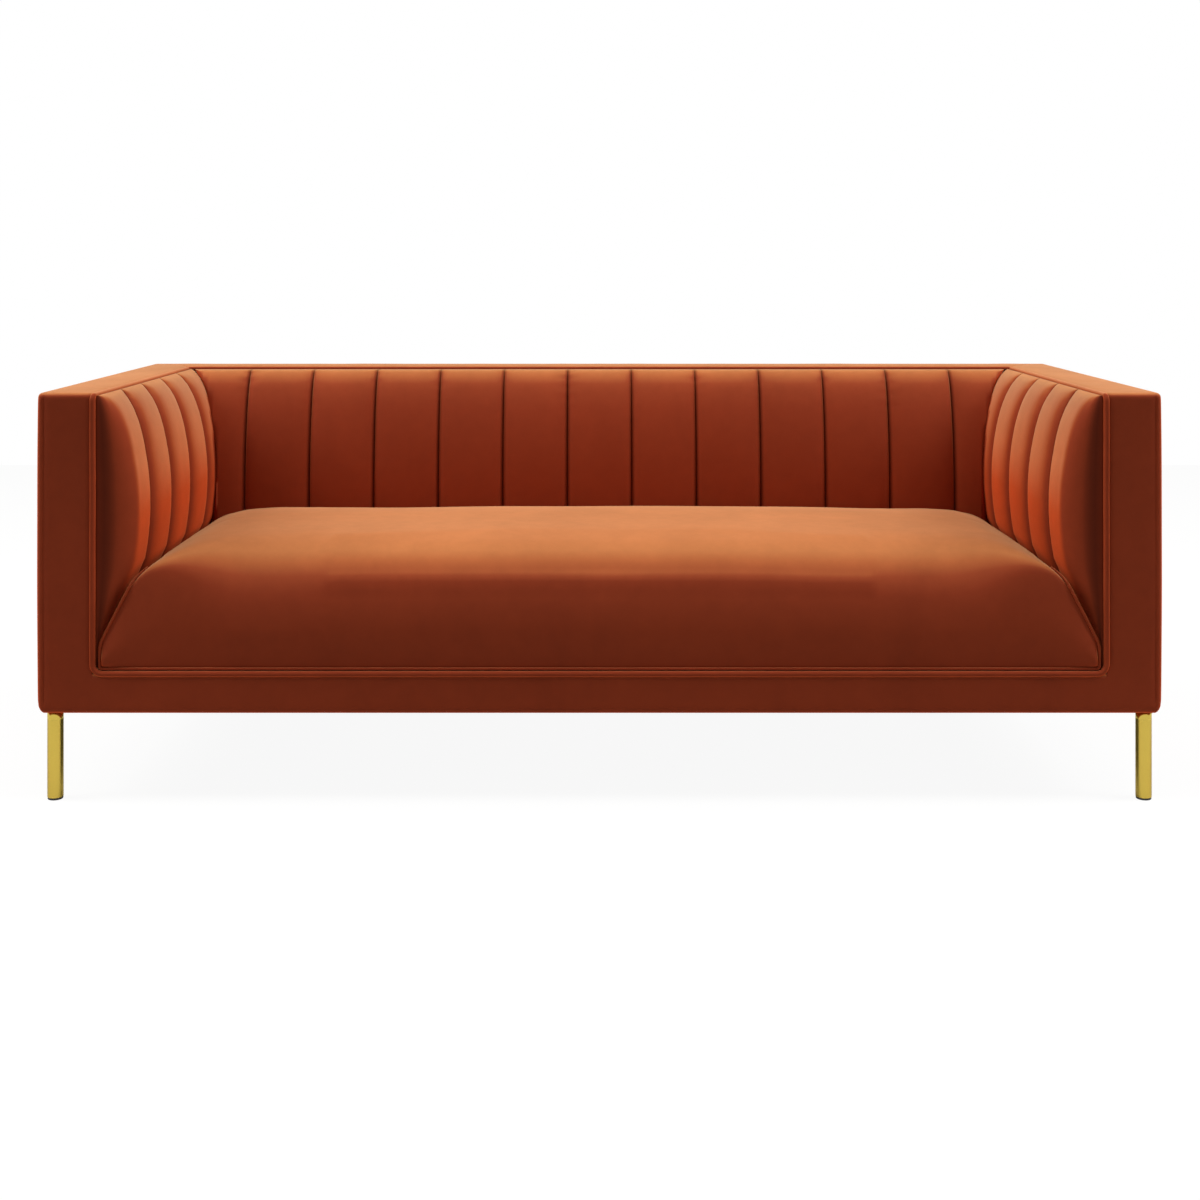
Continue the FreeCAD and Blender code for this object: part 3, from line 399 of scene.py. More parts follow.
def velvet_material(colours, name="velvet", painted_top_light=1.0):
    """Short pile: patches brushed one way or the other, fine uneven tufts, and a warm sheen at low angles,
    partly from the sheen lobe and partly painted into the colour, with painted light on faces that look up
    and painted shade in the seams.
    """
    shader = Shader(name)
    brushed = shader.noise(shader.place((1.0, 1.0, 0.45)), 5.5, 3.0, 0.55, 0.6)
    cloudy = shader.noise(shader.place(), 38.0, 3.0, 0.6)
    pile = shader.noise(shader.place(), 900.0, 2.0, 0.7)
    tone = (brushed * 0.5 + cloudy * 0.28 + pile * 0.22 - 0.5) * 0.6 + 1.0
    normal = shader.node("ShaderNodeTexCoord", output=1)
    up = shader.node("ShaderNodeSeparateXYZ", None, {0: normal}, output=2)
    facing = shader.node("ShaderNodeLayerWeight", None, {"Blend": 0.5}, output=1)
    # The share of painted top light that a surface gets; the cord takes 0.3
    up = up * painted_top_light
    looks_up = shader.steps(up, 0.05, 1.0)
    # Painted light: the base colour runs from the dark velvet on upright faces to the lighter top colour on
    # faces that look up, as if lit from above
    upright = shader.ramp(
        up,
        (
            (0.0, colours.velvet),
            (0.26, (0.31, 0.0455, 0.0147)),
            (0.485, (0.375, 0.068, 0.023)),
            (0.68, (0.50, 0.136, 0.043)),
            (0.83, (0.56, 0.192, 0.064)),
            (1.0, colours.painted_top_light),
        ),
    )
    # Painted rim sheen: faces that are seen at a low angle, but do not look up, turn a brighter red-orange
    painted_rim = shader.mixed(shader.steps(up, -0.05, 0.2), (0.62, 0.078, 0.014), (0.65, 0.15, 0.04))
    rim_mixed = shader.mixed(shader.steps(facing, 0.3, 0.85) * (1.0 - looks_up), upright, painted_rim)
    # Painted sheen: at the lowest view angles, and on tilted faces seen at a slant, the colour turns towards
    # a pale tan
    painted_sheen_share = facing**8.0 * (shader.steps(up, 0.0, 0.7) * 0.42 + 0.03)
    painted_sheen_share = painted_sheen_share + shader.steps(facing, 0.45, 0.8) * up * (1.0 - up) * 1.4
    painted_sheen = shader.mixed(painted_sheen_share, rim_mixed, (0.75, 0.45, 0.25))
    # Painted shade in the channel seams: the base colour is up to 60 % darker on them
    seam = shader.node("ShaderNodeAttribute", {"attribute_name": "seam"}, output=2)
    tone = tone * (1.0 - seam * 0.6)
    colour = shader.node("ShaderNodeVectorMath", {"operation": "SCALE"}, {0: painted_sheen, 3: tone})
    normal = shader.bump(pile * 0.7 + cloudy * 0.3, 0.0006, 0.35)
    return shader.surface(
        Base_Color=colour,
        Roughness=0.9 - pile * 0.1,
        Specular_IOR_Level=0.12,
        Sheen_Weight=0.15,
        Sheen_Roughness=0.3,
        Sheen_Tint=tuple(colours.sheen),
        Normal=normal,
    )


def gold_material(colours):
    """Polished plate with the faintest polishing marks round the tube."""
    shader = Shader("gold_plate")
    marks = shader.noise(shader.place((2.0, 2.0, 260.0)), 8.0, 3.0, 0.6)
    cloud = shader.noise(shader.place(), 22.0, 3.0)
    colour = shader.mixed(cloud, scaled(colours.gold, 0.95), scaled(colours.gold, 1.05))
    return shader.surface(
        Base_Color=colour,
        Metallic=1.0,
        Roughness=0.16 + marks * 0.07,
        Normal=shader.bump(marks, 0.00004, 0.4),
    )


def grained_material(name, light, dark, stretch, scale, roughness, metallic=0.0, relief=0.0003):
    """A plain stuff with a grain: noise drawn out along one axis, from the dark tone to the light one."""
    shader = Shader(name)
    grain = shader.noise(shader.place(stretch), scale, 5.0, 0.62, 0.8)
    fine = shader.noise(shader.place(stretch), scale * 7, 2.0, 0.5)
    share = grain * 0.7 + fine * 0.3
    return shader.surface(
        Base_Color=shader.mixed((share - 0.28) * 2.2, dark, light),
        Metallic=metallic,
        Roughness=roughness + (fine - 0.5) * 0.12,
        Normal=shader.bump(share, relief, 0.5),
    )


def woven_material(name, light, dark, threads):
    """Plain weave: two crossed sets of rounded threads, each raised where the other is low."""
    shader = Shader(name)
    where = shader.place()
    sets = []
    for direction in ("X", "Y"):
        settings = {"wave_type": "BANDS", "bands_direction": direction, "wave_profile": "SIN"}
        sets.append(shader.node("ShaderNodeTexWave", settings, {"Vector": where, "Scale": threads}, output=1))
    weave = sets[0] * 0.5 + sets[1] * 0.5
    fluff = shader.noise(where, 60.0, 3.0, 0.6)
    share = weave * 0.7 + fluff * 0.3
    return shader.surface(
        Base_Color=shader.mixed(share, dark, light),
        Roughness=0.92 - fluff * 0.08,
        Normal=shader.bump(share, 0.0003, 0.5),
    )


# Outer cover


def opening_distance(x, z, sizes):
    """Distance outside the front opening: a rectangle with rounded lower corners, open at its top."""
    half = WELT_HIGH.x - sizes.welt_radius
    low = WELT_LOW.z + sizes.welt_radius
    radius = sizes.welt_corner
    across = np.abs(x) - (half - radius)
    down = (low + radius) - z
    outside = np.hypot(np.maximum(across, 0), np.maximum(down, 0))
    return outside + np.minimum(np.maximum(across, down), 0) - radius


def cover_rows(sizes):
    """Heights of the rows on the upright faces, closer together by the piping and at the ends."""
    low = WELT_LOW.z + sizes.welt_radius
    lower = [0.0, 0.006, 0.014, 0.024, 0.034, 0.043, 0.05, 0.0545]
    heel = sizes.corner_round
    rows = [BOTTOM + heel + share for share in lower if BOTTOM + heel + share < low - 0.002]
    rows += [low, low + 0.006, low + 0.013, low + 0.02, low + 0.03, low + 0.045]
    rows += list(np.linspace(low + 0.07, TOP - sizes.top_round - 0.012, 26))
    rows += [TOP - sizes.top_round - 0.005, TOP - sizes.top_round]
    return np.array(rows), low


def top_height(x, y, inner):
    """Height of the padded top: level, rounded over to its edges, sunk beside the piping and in the mitre."""
    seam = np.maximum(np.abs(x) - inner, y - BACK_TOP_FRONT)
    edge = np.minimum(np.minimum(HALF_WIDTH - np.abs(x), y - FRONT), REAR - y)
    plump = 1 - (1 - np.clip(np.minimum(seam, edge) / 0.045, 0, 1)) ** 2
    height = TOP - 0.0006 + 0.0018 * plump - 0.005 * np.exp(-((np.maximum(seam, 0) / 0.0042) ** 2))
    slope = (REAR - BACK_TOP_FRONT) / (HALF_WIDTH - inner)
    off_mitre = np.abs((y - BACK_TOP_FRONT) - (np.abs(x) - inner) * slope) / math.hypot(1, slope)
    at_corner = (y > BACK_TOP_FRONT - 0.004) & (np.abs(x) > inner - 0.004)
    mitre = np.where(at_corner, np.exp(-((off_mitre / SEAM_WIDTH) ** 2)), 0)
    return height - 0.0016 * mitre + 0.0006 * ripple(3 * x, 3 * y, 0 * x)


def cover_columns(inner, sizes):
    """The cover's plan, from the piping on the arm's front, round both corners, to the middle of the back.

    Returns the core of each column (its place set in by the corner radius), its outward direction, its
    place on the spine where the top ends, and its heel radius.
    """
    radius = sizes.corner_round
    far, front_y, rear_y = HALF_WIDTH - radius, FRONT + radius, REAR - radius
    seam = far + 0.001
    mitre_y = FRONT + HALF_WIDTH - inner
    slope = (REAR - BACK_TOP_FRONT) / (HALF_WIDTH - inner)
    fronts = [inner, inner + 0.002, inner + 0.0045, inner + 0.008, inner + 0.014, inner + 0.024]
    fronts += [*np.linspace(inner + 0.036, seam - 0.006, 6), seam - 0.003, seam - 0.0018, seam - 0.001]
    sides = [*np.linspace(front_y, mitre_y, 9)[1:], *np.linspace(mitre_y, BACK_TOP_FRONT, 34)[1:]]
    sides += [*np.linspace(BACK_TOP_FRONT, rear_y, 9)[1:-1]]
    rears = [*np.linspace(far, inner, 9)[1:], *np.linspace(inner, 0, 42)[1:]]
    turns = np.linspace(0, math.pi / 2, 7)
    corner = 7 * [far]
    x = np.array([*fronts, *corner, *len(sides) * [far], *corner, *rears])
    y = np.array([*(len(fronts) + 7) * [front_y], *sides, *(len(rears) + 7) * [rear_y]])
    core = np.stack([x, y], 1)
    out = np.concatenate(
        [
            np.tile([0.0, -1.0], (len(fronts), 1)),
            np.stack([np.sin(turns), -np.cos(turns)], 1),
            np.tile([1.0, 0.0], (len(sides), 1)),
            np.stack([np.cos(turns), np.sin(turns)], 1),
            np.tile([0.0, 1.0], (len(rears), 1)),
        ]
    )
    spine_x = np.where(y < mitre_y, HALF_WIDTH - (y - FRONT), inner)
    spine_x = np.where(y > BACK_TOP_FRONT, inner + (y - BACK_TOP_FRONT) / slope, spine_x)
    on_side = np.abs(out[:, 0]) > 0.999
    front_part = y <= front_y + 1e-9
    rear_part = y >= rear_y - 1e-9
    spine_x = np.where(front_part & ~on_side, np.minimum(x, far), spine_x)
    rear_end = inner + (rear_y - BACK_TOP_FRONT) / slope
    spine_x = np.where(rear_part & ~on_side, np.minimum(x, rear_end), spine_x)
    spine_y = np.where(front_part, FRONT + HALF_WIDTH - spine_x, y)
    spine_y = np.where(rear_part, BACK_TOP_FRONT + np.maximum(spine_x - inner, 0) * slope, spine_y)
    heel = radius + (sizes.heel_round - radius) * np.abs(out[:, 0]) ** 2
    return core, out, np.stack([spine_x, spine_y], 1), heel


def inset_plan(core, out, inset, radius):
    """Columns moved in from the faces by the inset, kept inside the lines that the inset faces make."""
    spot = core + out * (radius - inset)[:, None]
    low = FRONT + np.maximum(inset, 0)
    high = REAR - np.maximum(inset, 0)
    x = np.minimum(spot[:, 0], HALF_WIDTH - inset)
    return x, np.clip(spot[:, 1], low, high)


def cover_wrap(sizes):
    """Half of the cover: each column runs from under the frame, up the face and over the top."""
    inner = WELT_HIGH.x - sizes.welt_radius
    core, out, spine, heel = cover_columns(inner, sizes)
    radius = sizes.corner_round
    rows, low = cover_rows(sizes)
    span = TOP - sizes.top_round - rows[0]
    layers = []
    for inset, z in TURN_UNDER:
        layers.append((*inset_plan(core, out, np.full(len(core), inset), radius), np.full(len(core), z)))
    for angle in np.linspace(0, math.pi / 2, 7):
        plan = inset_plan(core, out, heel * (1 - math.sin(angle)), radius)
        layers.append((*plan, BOTTOM + heel * (1 - math.cos(angle))))
    for row in rows[1:]:
        share = (row - rows[0]) / span
        x, y = inset_plan(core, out, np.zeros(len(core)), radius)
        z = row + (heel - radius) * (1 - share) ** 3
        bulge = math.sin(math.pi * share) ** 0.6 if 0 < share < 1 else 0.0
        along = np.abs(out[:, 0]) ** 4
        middle = np.clip(1 - np.abs(y / (REAR - 0.004)) ** 6, 0, 1)
        x = x + CORNER_SWELL * bulge * smooth_step(0.98, 1.06, x)
        x = x + along * FACE_SWELL * bulge * middle + out[:, 0] * 0.0007 * ripple(x, 2 * y, 2 * z)
        back = (out[:, 1] > 0.99) * np.clip(1 - np.abs(x / (HALF_WIDTH - 0.004)) ** 8, 0, 1)
        y = y + back * FACE_SWELL * bulge + out[:, 1] * 0.0006 * ripple(2 * x, y, 2 * z)
        layers.append((x, y, z))
    for angle in np.linspace(0, math.pi / 2, 6)[1:]:
        inset = np.full(len(core), sizes.top_round * (1 - math.cos(angle)))
        x, y = inset_plan(core, out, inset, radius)
        layers.append((x, y, TOP - sizes.top_round * (1 - math.sin(angle)) + 0 * x))
    start = np.stack(inset_plan(core, out, np.full(len(core), sizes.top_round), radius), 1)
    for share in (0.06, 0.15, 0.3, 0.5, 0.7, 0.82, 0.9, 0.945, 0.965, 0.98, 0.99, 1.0):
        x, y = (start + (spine - start) * share).T
        layers.append((x, y, top_height(x, y, inner)))
    grid = np.array([np.stack(layer, 1) for layer in layers])
    dip_front(grid, sizes, out[:, 1] < -0.99)
    seam_line(grid, sizes)
    return grid, low, inner


def dip_front(grid, sizes, columns):
    """Sink the front face behind the piping: 4.5 mm at the opening's edge, dying away like a bell."""
    part = grid[:, columns]
    outside = np.maximum(opening_distance(part[..., 0], part[..., 2], sizes), 0)
    part[..., 1] += WELT_DIP * np.exp(-((outside / WELT_DIP) ** 2))
    grid[:, columns] = part


def seam_line(grid, sizes):
    """A sewn line down the arm's front, where the side panel's rounding starts."""
    x, y, z = grid[..., 0], grid[..., 1], grid[..., 2]
    seam = HALF_WIDTH - sizes.corner_round - 0.001
    near = np.exp(-(((x - seam) / SEAM_WIDTH) ** 2)) * smooth_step(BOTTOM + 0.01, BOTTOM + 0.03, z)
    near = near * (1 - smooth_step(TOP - 0.012, TOP - 0.004, z))
    grid[..., 1] += np.where(y < FRONT + 0.002, SEAM_DEPTH * near, 0)


def rail_wrap(sizes, rows, low, inner):
    """Half of the front rail's face, between the arms, in the same rows as the arm's front."""
    radius = sizes.corner_round
    by_welt = inner - np.array([0.022, 0.014, 0.008, 0.0045, 0.002, 0])
    across = np.concatenate([np.linspace(0, inner - 0.03, 40), by_welt])
    layers = []
    for inset, z in TURN_UNDER:
        layers.append((FRONT + inset, z))
    for angle in np.linspace(0, math.pi / 2, 7):
        layers.append((FRONT + radius * (1 - math.sin(angle)), BOTTOM + radius * (1 - math.cos(angle))))
    layers += [(FRONT, row) for row in rows[1:] if row <= low + 1e-6]
    grid = np.zeros((len(layers), len(across), 3))
    grid[..., 0] = across
    grid[..., 1:] = np.array(layers)[:, None]
    face = grid[9:]
    face[..., 1] -= 0.0006 * ripple(2 * face[..., 0], face[..., 1], 2 * face[..., 2])
    dip_front(grid, sizes, np.ones(len(across), bool))
    return grid


class SOFA_OT_outer_cover(bpy.types.Operator):
    """Velvet cover round the arms, the back and the front rail, in one sewn shell"""

    bl_idname = "sofa.outer_cover"
    bl_label = "Outer cover"

    def execute(self, context):
        sizes = context.scene.sofa_sizes
        skin = Skin()
        wrap, low, inner = cover_wrap(sizes)
        skin.grid(wrap)
        rows, _ = cover_rows(sizes)
        skin.grid(rail_wrap(sizes, rows, low, inner))
        skin.mirror()
        item = skin.piece("outer_cover", material_of("velvet"))
        wall = item.modifiers.new("wall", "SOLIDIFY")
        wall.thickness = COVER_WALL
        wall.offset = -1
        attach(item, "sofa_frame")
        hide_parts("arm_cover_left", "arm_cover_right", "back_cover", "front_rail_cover")
        return {"FINISHED"}


# Channel pads


def channel_places(start, pitch, count, steps):
    """Places along a row of channels, closer together at each seam, also counted in channels."""
    shares = (1 - np.cos(np.pi * np.arange(steps) / steps)) / 2
    places = (np.arange(count)[:, None] + shares[None, :]).ravel()
    places = np.append(places, count)
    return start + pitch * places, places


def channel_profile(places):
    """Height over the seams, 0 to 1: a flat arch (1 - |s|^2.6)^0.5 on each channel, less a sewn groove."""
    across = np.abs(2 * (places - np.floor(places)) - 1)
    return np.sqrt(np.clip(1 - across**2.6, 0, 1)) - 0.32 * np.exp(-(1 - across) / 0.03)


def points_of(mesh):
    """The mesh's points, one row of X, Y and Z each."""
    spots = np.empty(len(mesh.vertices) * 3)
    mesh.vertices.foreach_get("co", spots)
    return spots.reshape(-1, 3)


def mark_seams(item, axis, start, pitch):
    """Write how near each point lies to a seam as an attribute: 1 on it, 0 where the seam's shade ends."""
    along = (points_of(item.data)[:, axis] - start) / pitch
    near = 1 - np.clip(np.abs(along - np.round(along)) * pitch / SEAM_SHADE, 0, 1)
    item.data.attributes.new("seam", "FLOAT", "POINT").data.foreach_set("value", near)


def channel_pad(name, grid, seams):
    """A closed pad from its grid of rows, with its seams marked."""
    skin = Skin()
    skin.capped(grid)
    item = skin.piece(name, material_of("velvet"))
    mark_seams(item, *seams)
    return item


def top_gathers(places, z, top):
    """Pleats that fan down from the top seam beside each channel seam, dying away over 45 mm."""
    to_seam = np.minimum(places - np.floor(places), np.ceil(places) - places)
    number = np.round(places)
    below = np.maximum(top - z, 0)
    fan = np.sin(to_seam * 150 + below * 60 + number * 1.9) * np.exp(-to_seam / 0.13) * np.exp(-below / 0.03)
    return 0.0016 * fan * (1 - np.exp(-to_seam / 0.02)) * (1 - np.exp(-below / 0.006))


def puckers(places, z, height, strength):
    """Small gathers beside the seams: short waves up the seam that die away within a tenth of a channel."""
    to_seam = np.minimum(places - np.floor(places), np.ceil(places) - places)
    number = np.round(places)
    wave = np.sin(z * 310 + number * 2.1 + 1.7 * np.sin(z * 47 + number * 1.3))
    patch = np.clip(np.sin(z * 23 + number * 2.7) * 0.6 + 0.4, 0, 1)
    near = np.exp(-to_seam / 0.07) * (1 - np.exp(-to_seam / 0.012))
    return height * wave * patch * near * strength


class SOFA_OT_back_pad(bpy.types.Operator):
    """Channelled pad of the back"""

    bl_idname = "sofa.back_pad"
    bl_label = "Back pad"

    channels = 13

    def execute(self, context):
        sizes = context.scene.sofa_sizes
        reach = PAD_TOP + 0.012 - PAD_SHOULDER
        across, places = channel_places(-BOARD_X, 2 * BOARD_X / self.channels, self.channels, 14)
        straight = np.linspace(DECK_TOP + 0.001, PAD_SHOULDER, 14)[:-1]
        turns = np.concatenate([np.linspace(0, math.radians(73), 34), np.radians([75, 78, 82, 87])])
        z = np.concatenate([straight, PAD_SHOULDER + reach * np.sin(turns)])[:, None]
        tilt = np.concatenate([np.zeros_like(straight), turns])[:, None]
        rise = np.sin(tilt) * sizes.back_depth
        fall = np.cos(tilt) * reach
        length = np.hypot(rise, fall)
        arch = channel_profile(places)
        fade = 1 - smooth_step(math.radians(55), math.radians(88), tilt)
        crown = sizes.channel_crown * arch * (0.12 + 0.88 * fade)
        crown = crown + puckers(places, z, sizes.pucker, 0.35 + 0.65 * smooth_step(0.52, 0.68, z))
        crown = crown + top_gathers(places, z, PAD_TOP)
        crown = crown + 0.0009 * ripple(across * 2, 0, z * 2) * arch
        face = np.zeros((len(z), len(across), 3))
        face[..., 0] = across
        face[..., 1] = BOARD_Y - np.cos(tilt) * sizes.back_depth - crown * (fall / length)
        face[..., 2] = np.minimum(z + crown * (rise / length), PAD_TOP + 0.002)
        out = BOARD_Y - face[..., 1]
        slant = sizes.arm_crest / (sizes.back_depth + sizes.channel_crown)
        limit = BOARD_X - out * slant - 0.0004
        face[..., 0] = np.clip(face[..., 0], -limit, limit)
        wall = np.zeros_like(face[:, :2])
        wall[:, 0] = face[:, -1] * (1, 0, 1) + (0, BOARD_Y, 0)
        wall[:, 1] = face[:, 0] * (1, 0, 1) + (0, BOARD_Y, 0)
        seams = (0, -BOARD_X, 2 * BOARD_X / self.channels)
        item = channel_pad("back_pad", np.concatenate([face, wall], axis=1), seams)
        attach(item, "sofa_frame")
        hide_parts("back_channel_pad")
        return {"FINISHED"}


def arm_crest_at(z, sizes):
    """How far the arm pad stands out at a height: a leaning line low down, then two half ellipses."""
    reach = np.where(z > ARM_WIDEST, PAD_TOP + 0.003 - ARM_WIDEST, ARM_LOWER_REACH)
    bow = np.sqrt(np.clip(1 - ((z - ARM_WIDEST) / reach) ** 2, 0, 1))
    at_high = math.sqrt(1 - ((ARM_LEAN_TOP - ARM_WIDEST) / ARM_LOWER_REACH) ** 2)
    line = at_high * np.clip((z - ARM_LEAN_FOOT) / (ARM_LEAN_TOP - ARM_LEAN_FOOT), 0, 1)
    return sizes.arm_crest * np.where(z >= ARM_LEAN_TOP, bow, line) + PAD_FOOT


class SOFA_OT_arm_pads(bpy.types.Operator):
    """Channelled pads of both arms"""

    bl_idname = "sofa.arm_pads"
    bl_label = "Arm pads"

    channels = 5

    def execute(self, context):
        sizes = context.scene.sofa_sizes
        pitch = (BOARD_Y - PAD_FRONT) / self.channels
        along, places = channel_places(PAD_FRONT, pitch, self.channels, 16)
        rest = places > 0.5
        flat = np.linspace(0.0, 0.9, 5)
        roll = sizes.arm_roll
        along = np.concatenate([PAD_FRONT + roll + flat * (0.5 * pitch - roll), along[rest]])
        places = np.concatenate([roll / pitch + flat * (0.5 - roll / pitch), places[rest]])
        turns = np.linspace(0, math.pi / 2, 15)[:-1]
        low = np.linspace(DECK_TOP + 0.001, ARM_LEAN_TOP, 16)[:-1]
        middle = np.linspace(ARM_LEAN_TOP, ARM_WIDEST, 12)[:-1]
        climb = np.concatenate([np.linspace(0, math.radians(80), 34), np.radians([82.5, 85, 87])])
        high = ARM_WIDEST + (PAD_TOP + 0.003 - ARM_WIDEST) * np.sin(climb)
        z = np.concatenate([low, middle, high])[:, None]
        crest = arm_crest_at(z, sizes)
        thin = np.minimum(sizes.arm_taper, crest * 0.22)
        depth = np.minimum(sizes.arm_crown, crest * 0.5)
        across = 2 * (places - np.floor(places)) - 1
        start = 2 * roll / pitch - 1
        across = np.abs(np.where(places < 1, (across - start) / (1 - start), across))
        arch = np.sqrt(np.clip(1 - across**2.6, 0, 1)) - 0.3 * np.exp(-(1 - across) / 0.03)
        forward = np.clip((BOARD_Y - along) / (BOARD_Y - PAD_FRONT), 0, 1)
        free = smooth_step(DECK_TOP + 0.02, DECK_TOP + 0.10, z)
        fine = puckers(places, z, sizes.pucker * 0.6, 1.0)
        fine = fine + 0.0008 * ripple(0, along * 3, z * 2)
        out = crest - thin * forward - depth * (1 - arch) + fine * free
        out = out + top_gathers(places, z, PAD_TOP)
        bend = 2 / 2.5
        front_out = (crest - thin * forward[0]) * np.sin(turns) ** bend
        front_along = PAD_FRONT + roll * (1 - np.cos(turns) ** bend) + 0 * crest
        front_along = front_along - np.exp(-(TOP - z) / 0.03) * np.sin(turns * 13) * 0.0012
        wide = np.concatenate([front_out, out], axis=1)
        run = np.concatenate([front_along, np.broadcast_to(along, out.shape)], axis=1)
        slant = (sizes.back_depth + sizes.channel_crown) / sizes.arm_crest
        limit = BOARD_Y - wide * slant - 0.0004
        run = np.minimum(run, limit)
        for name, side in (("left", -1), ("right", 1)):
            face = np.stack([side * (BOARD_X - wide), run, np.broadcast_to(z, wide.shape)], -1)
            flap = np.zeros((len(z), 3, 3))
            flap[..., 0] = side * np.array([BOARD_X, BOARD_X + 0.009, BOARD_X + 0.009])
            flap[..., 1] = PAD_FRONT - np.array([0, 0, FRONT_LAP])
            flap[..., 2] = z
            wall = np.concatenate([face[:, -1:] * (0, 1, 1) + (side * BOARD_X, 0, 0), flap], axis=1)
            face[:, 0, 1] -= FRONT_LAP
            grid = np.concatenate([face, wall], axis=1)
            item = channel_pad(f"arm_pad_{name}", grid, (1, PAD_FRONT, pitch))
            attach(item, "sofa_frame")
            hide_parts(f"arm_channel_pad_{name}")
        return {"FINISHED"}


# Piping


class SOFA_OT_piping(bpy.types.Operator):
    """One run of piping: along the front rail, up both arms and round the inner top edge"""

    bl_idname = "sofa.piping"
    bl_label = "Piping"

    def execute(self, context):
        sizes = context.scene.sofa_sizes
        radius = sizes.welt_radius
        _, high_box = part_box("top_welt")
        x = high_box.x - radius
        front = WELT_FRONT + radius
        rear = high_box.y - radius
        low = WELT_LOW.z + radius
        high = high_box.z - radius
        right = [(x, front, low), (x, front, high), (x, rear, high)]
        corners = right + [(-a, b, c) for a, b, c in right[::-1]]
        bends = [sizes.welt_corner, 0.008, 0.009]
        path = rounded_path(corners, bends + bends[::-1], 0.004, closed=True)
        path[:, 0] += np.sign(path[:, 0]) * 0.0005 * ripple(path[:, 1] * 2, path[:, 2] * 2, path[:, 0] * 0)
        skin = Skin()
        tube(skin, path, radius, 14, closed=True)
        item = skin.piece("piping", material_of("velvet_cord"))
        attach(item, "sofa_frame")
        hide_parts("front_welt", "top_welt")
        return {"FINISHED"}


# Seat cushion


def cushion_outline(sizes):
    """Upper and lower outline of the cushion's cross section, with the same number of points each."""
    heel = CUSHION_HIGH.x
    bottom = CUSHION_LOW.z + 0.0006
    heel_top = bottom + 0.044
    shoulder = (heel - 0.071, bottom + 0.182)
    edge = (heel - 0.136, bottom + 0.227)
    start = bottom + 0.009
    right = [(edge[0] - 0.1, edge[1] + 0.004), edge, shoulder, (heel, heel_top), (heel, start)]
    corners = [(-x, 0, z) for x, z in right[::-1]] + [(x, 0, z) for x, z in right]
    upper = rounded_path(corners, [0, 0.09, 0.09, 0.16, 0.5, 0.5, 0.16, 0.09, 0.09, 0], 0.0075)
    corners = [(-heel, 0, start), (-heel, 0, bottom), (heel, 0, bottom), (heel, 0, start)]
    lower = rounded_path(corners, [0, 0.0085, 0.0085, 0], 0.0075)
    flat = np.clip(1 - (upper[:, 0] / edge[0]) ** 2, 0, 1)
    upper[:, 2] += sizes.cushion_crown * flat
    lengths = np.linspace(0, 1, len(upper))
    own = np.linspace(0, 1, len(lower))
    matched = np.stack([np.interp(lengths, own, lower[:, axis]) for axis in range(3)], 1)
    return upper, matched


def inward(line):
    """Unit normals of a line in the XZ plane, turned towards the inside of a section drawn clockwise."""
    along = np.gradient(line[:, (0, 2)], axis=0)
    along /= np.linalg.norm(along, axis=1)[:, None]
    return np.stack([along[:, 1], np.zeros(len(line)), -along[:, 0]], 1)


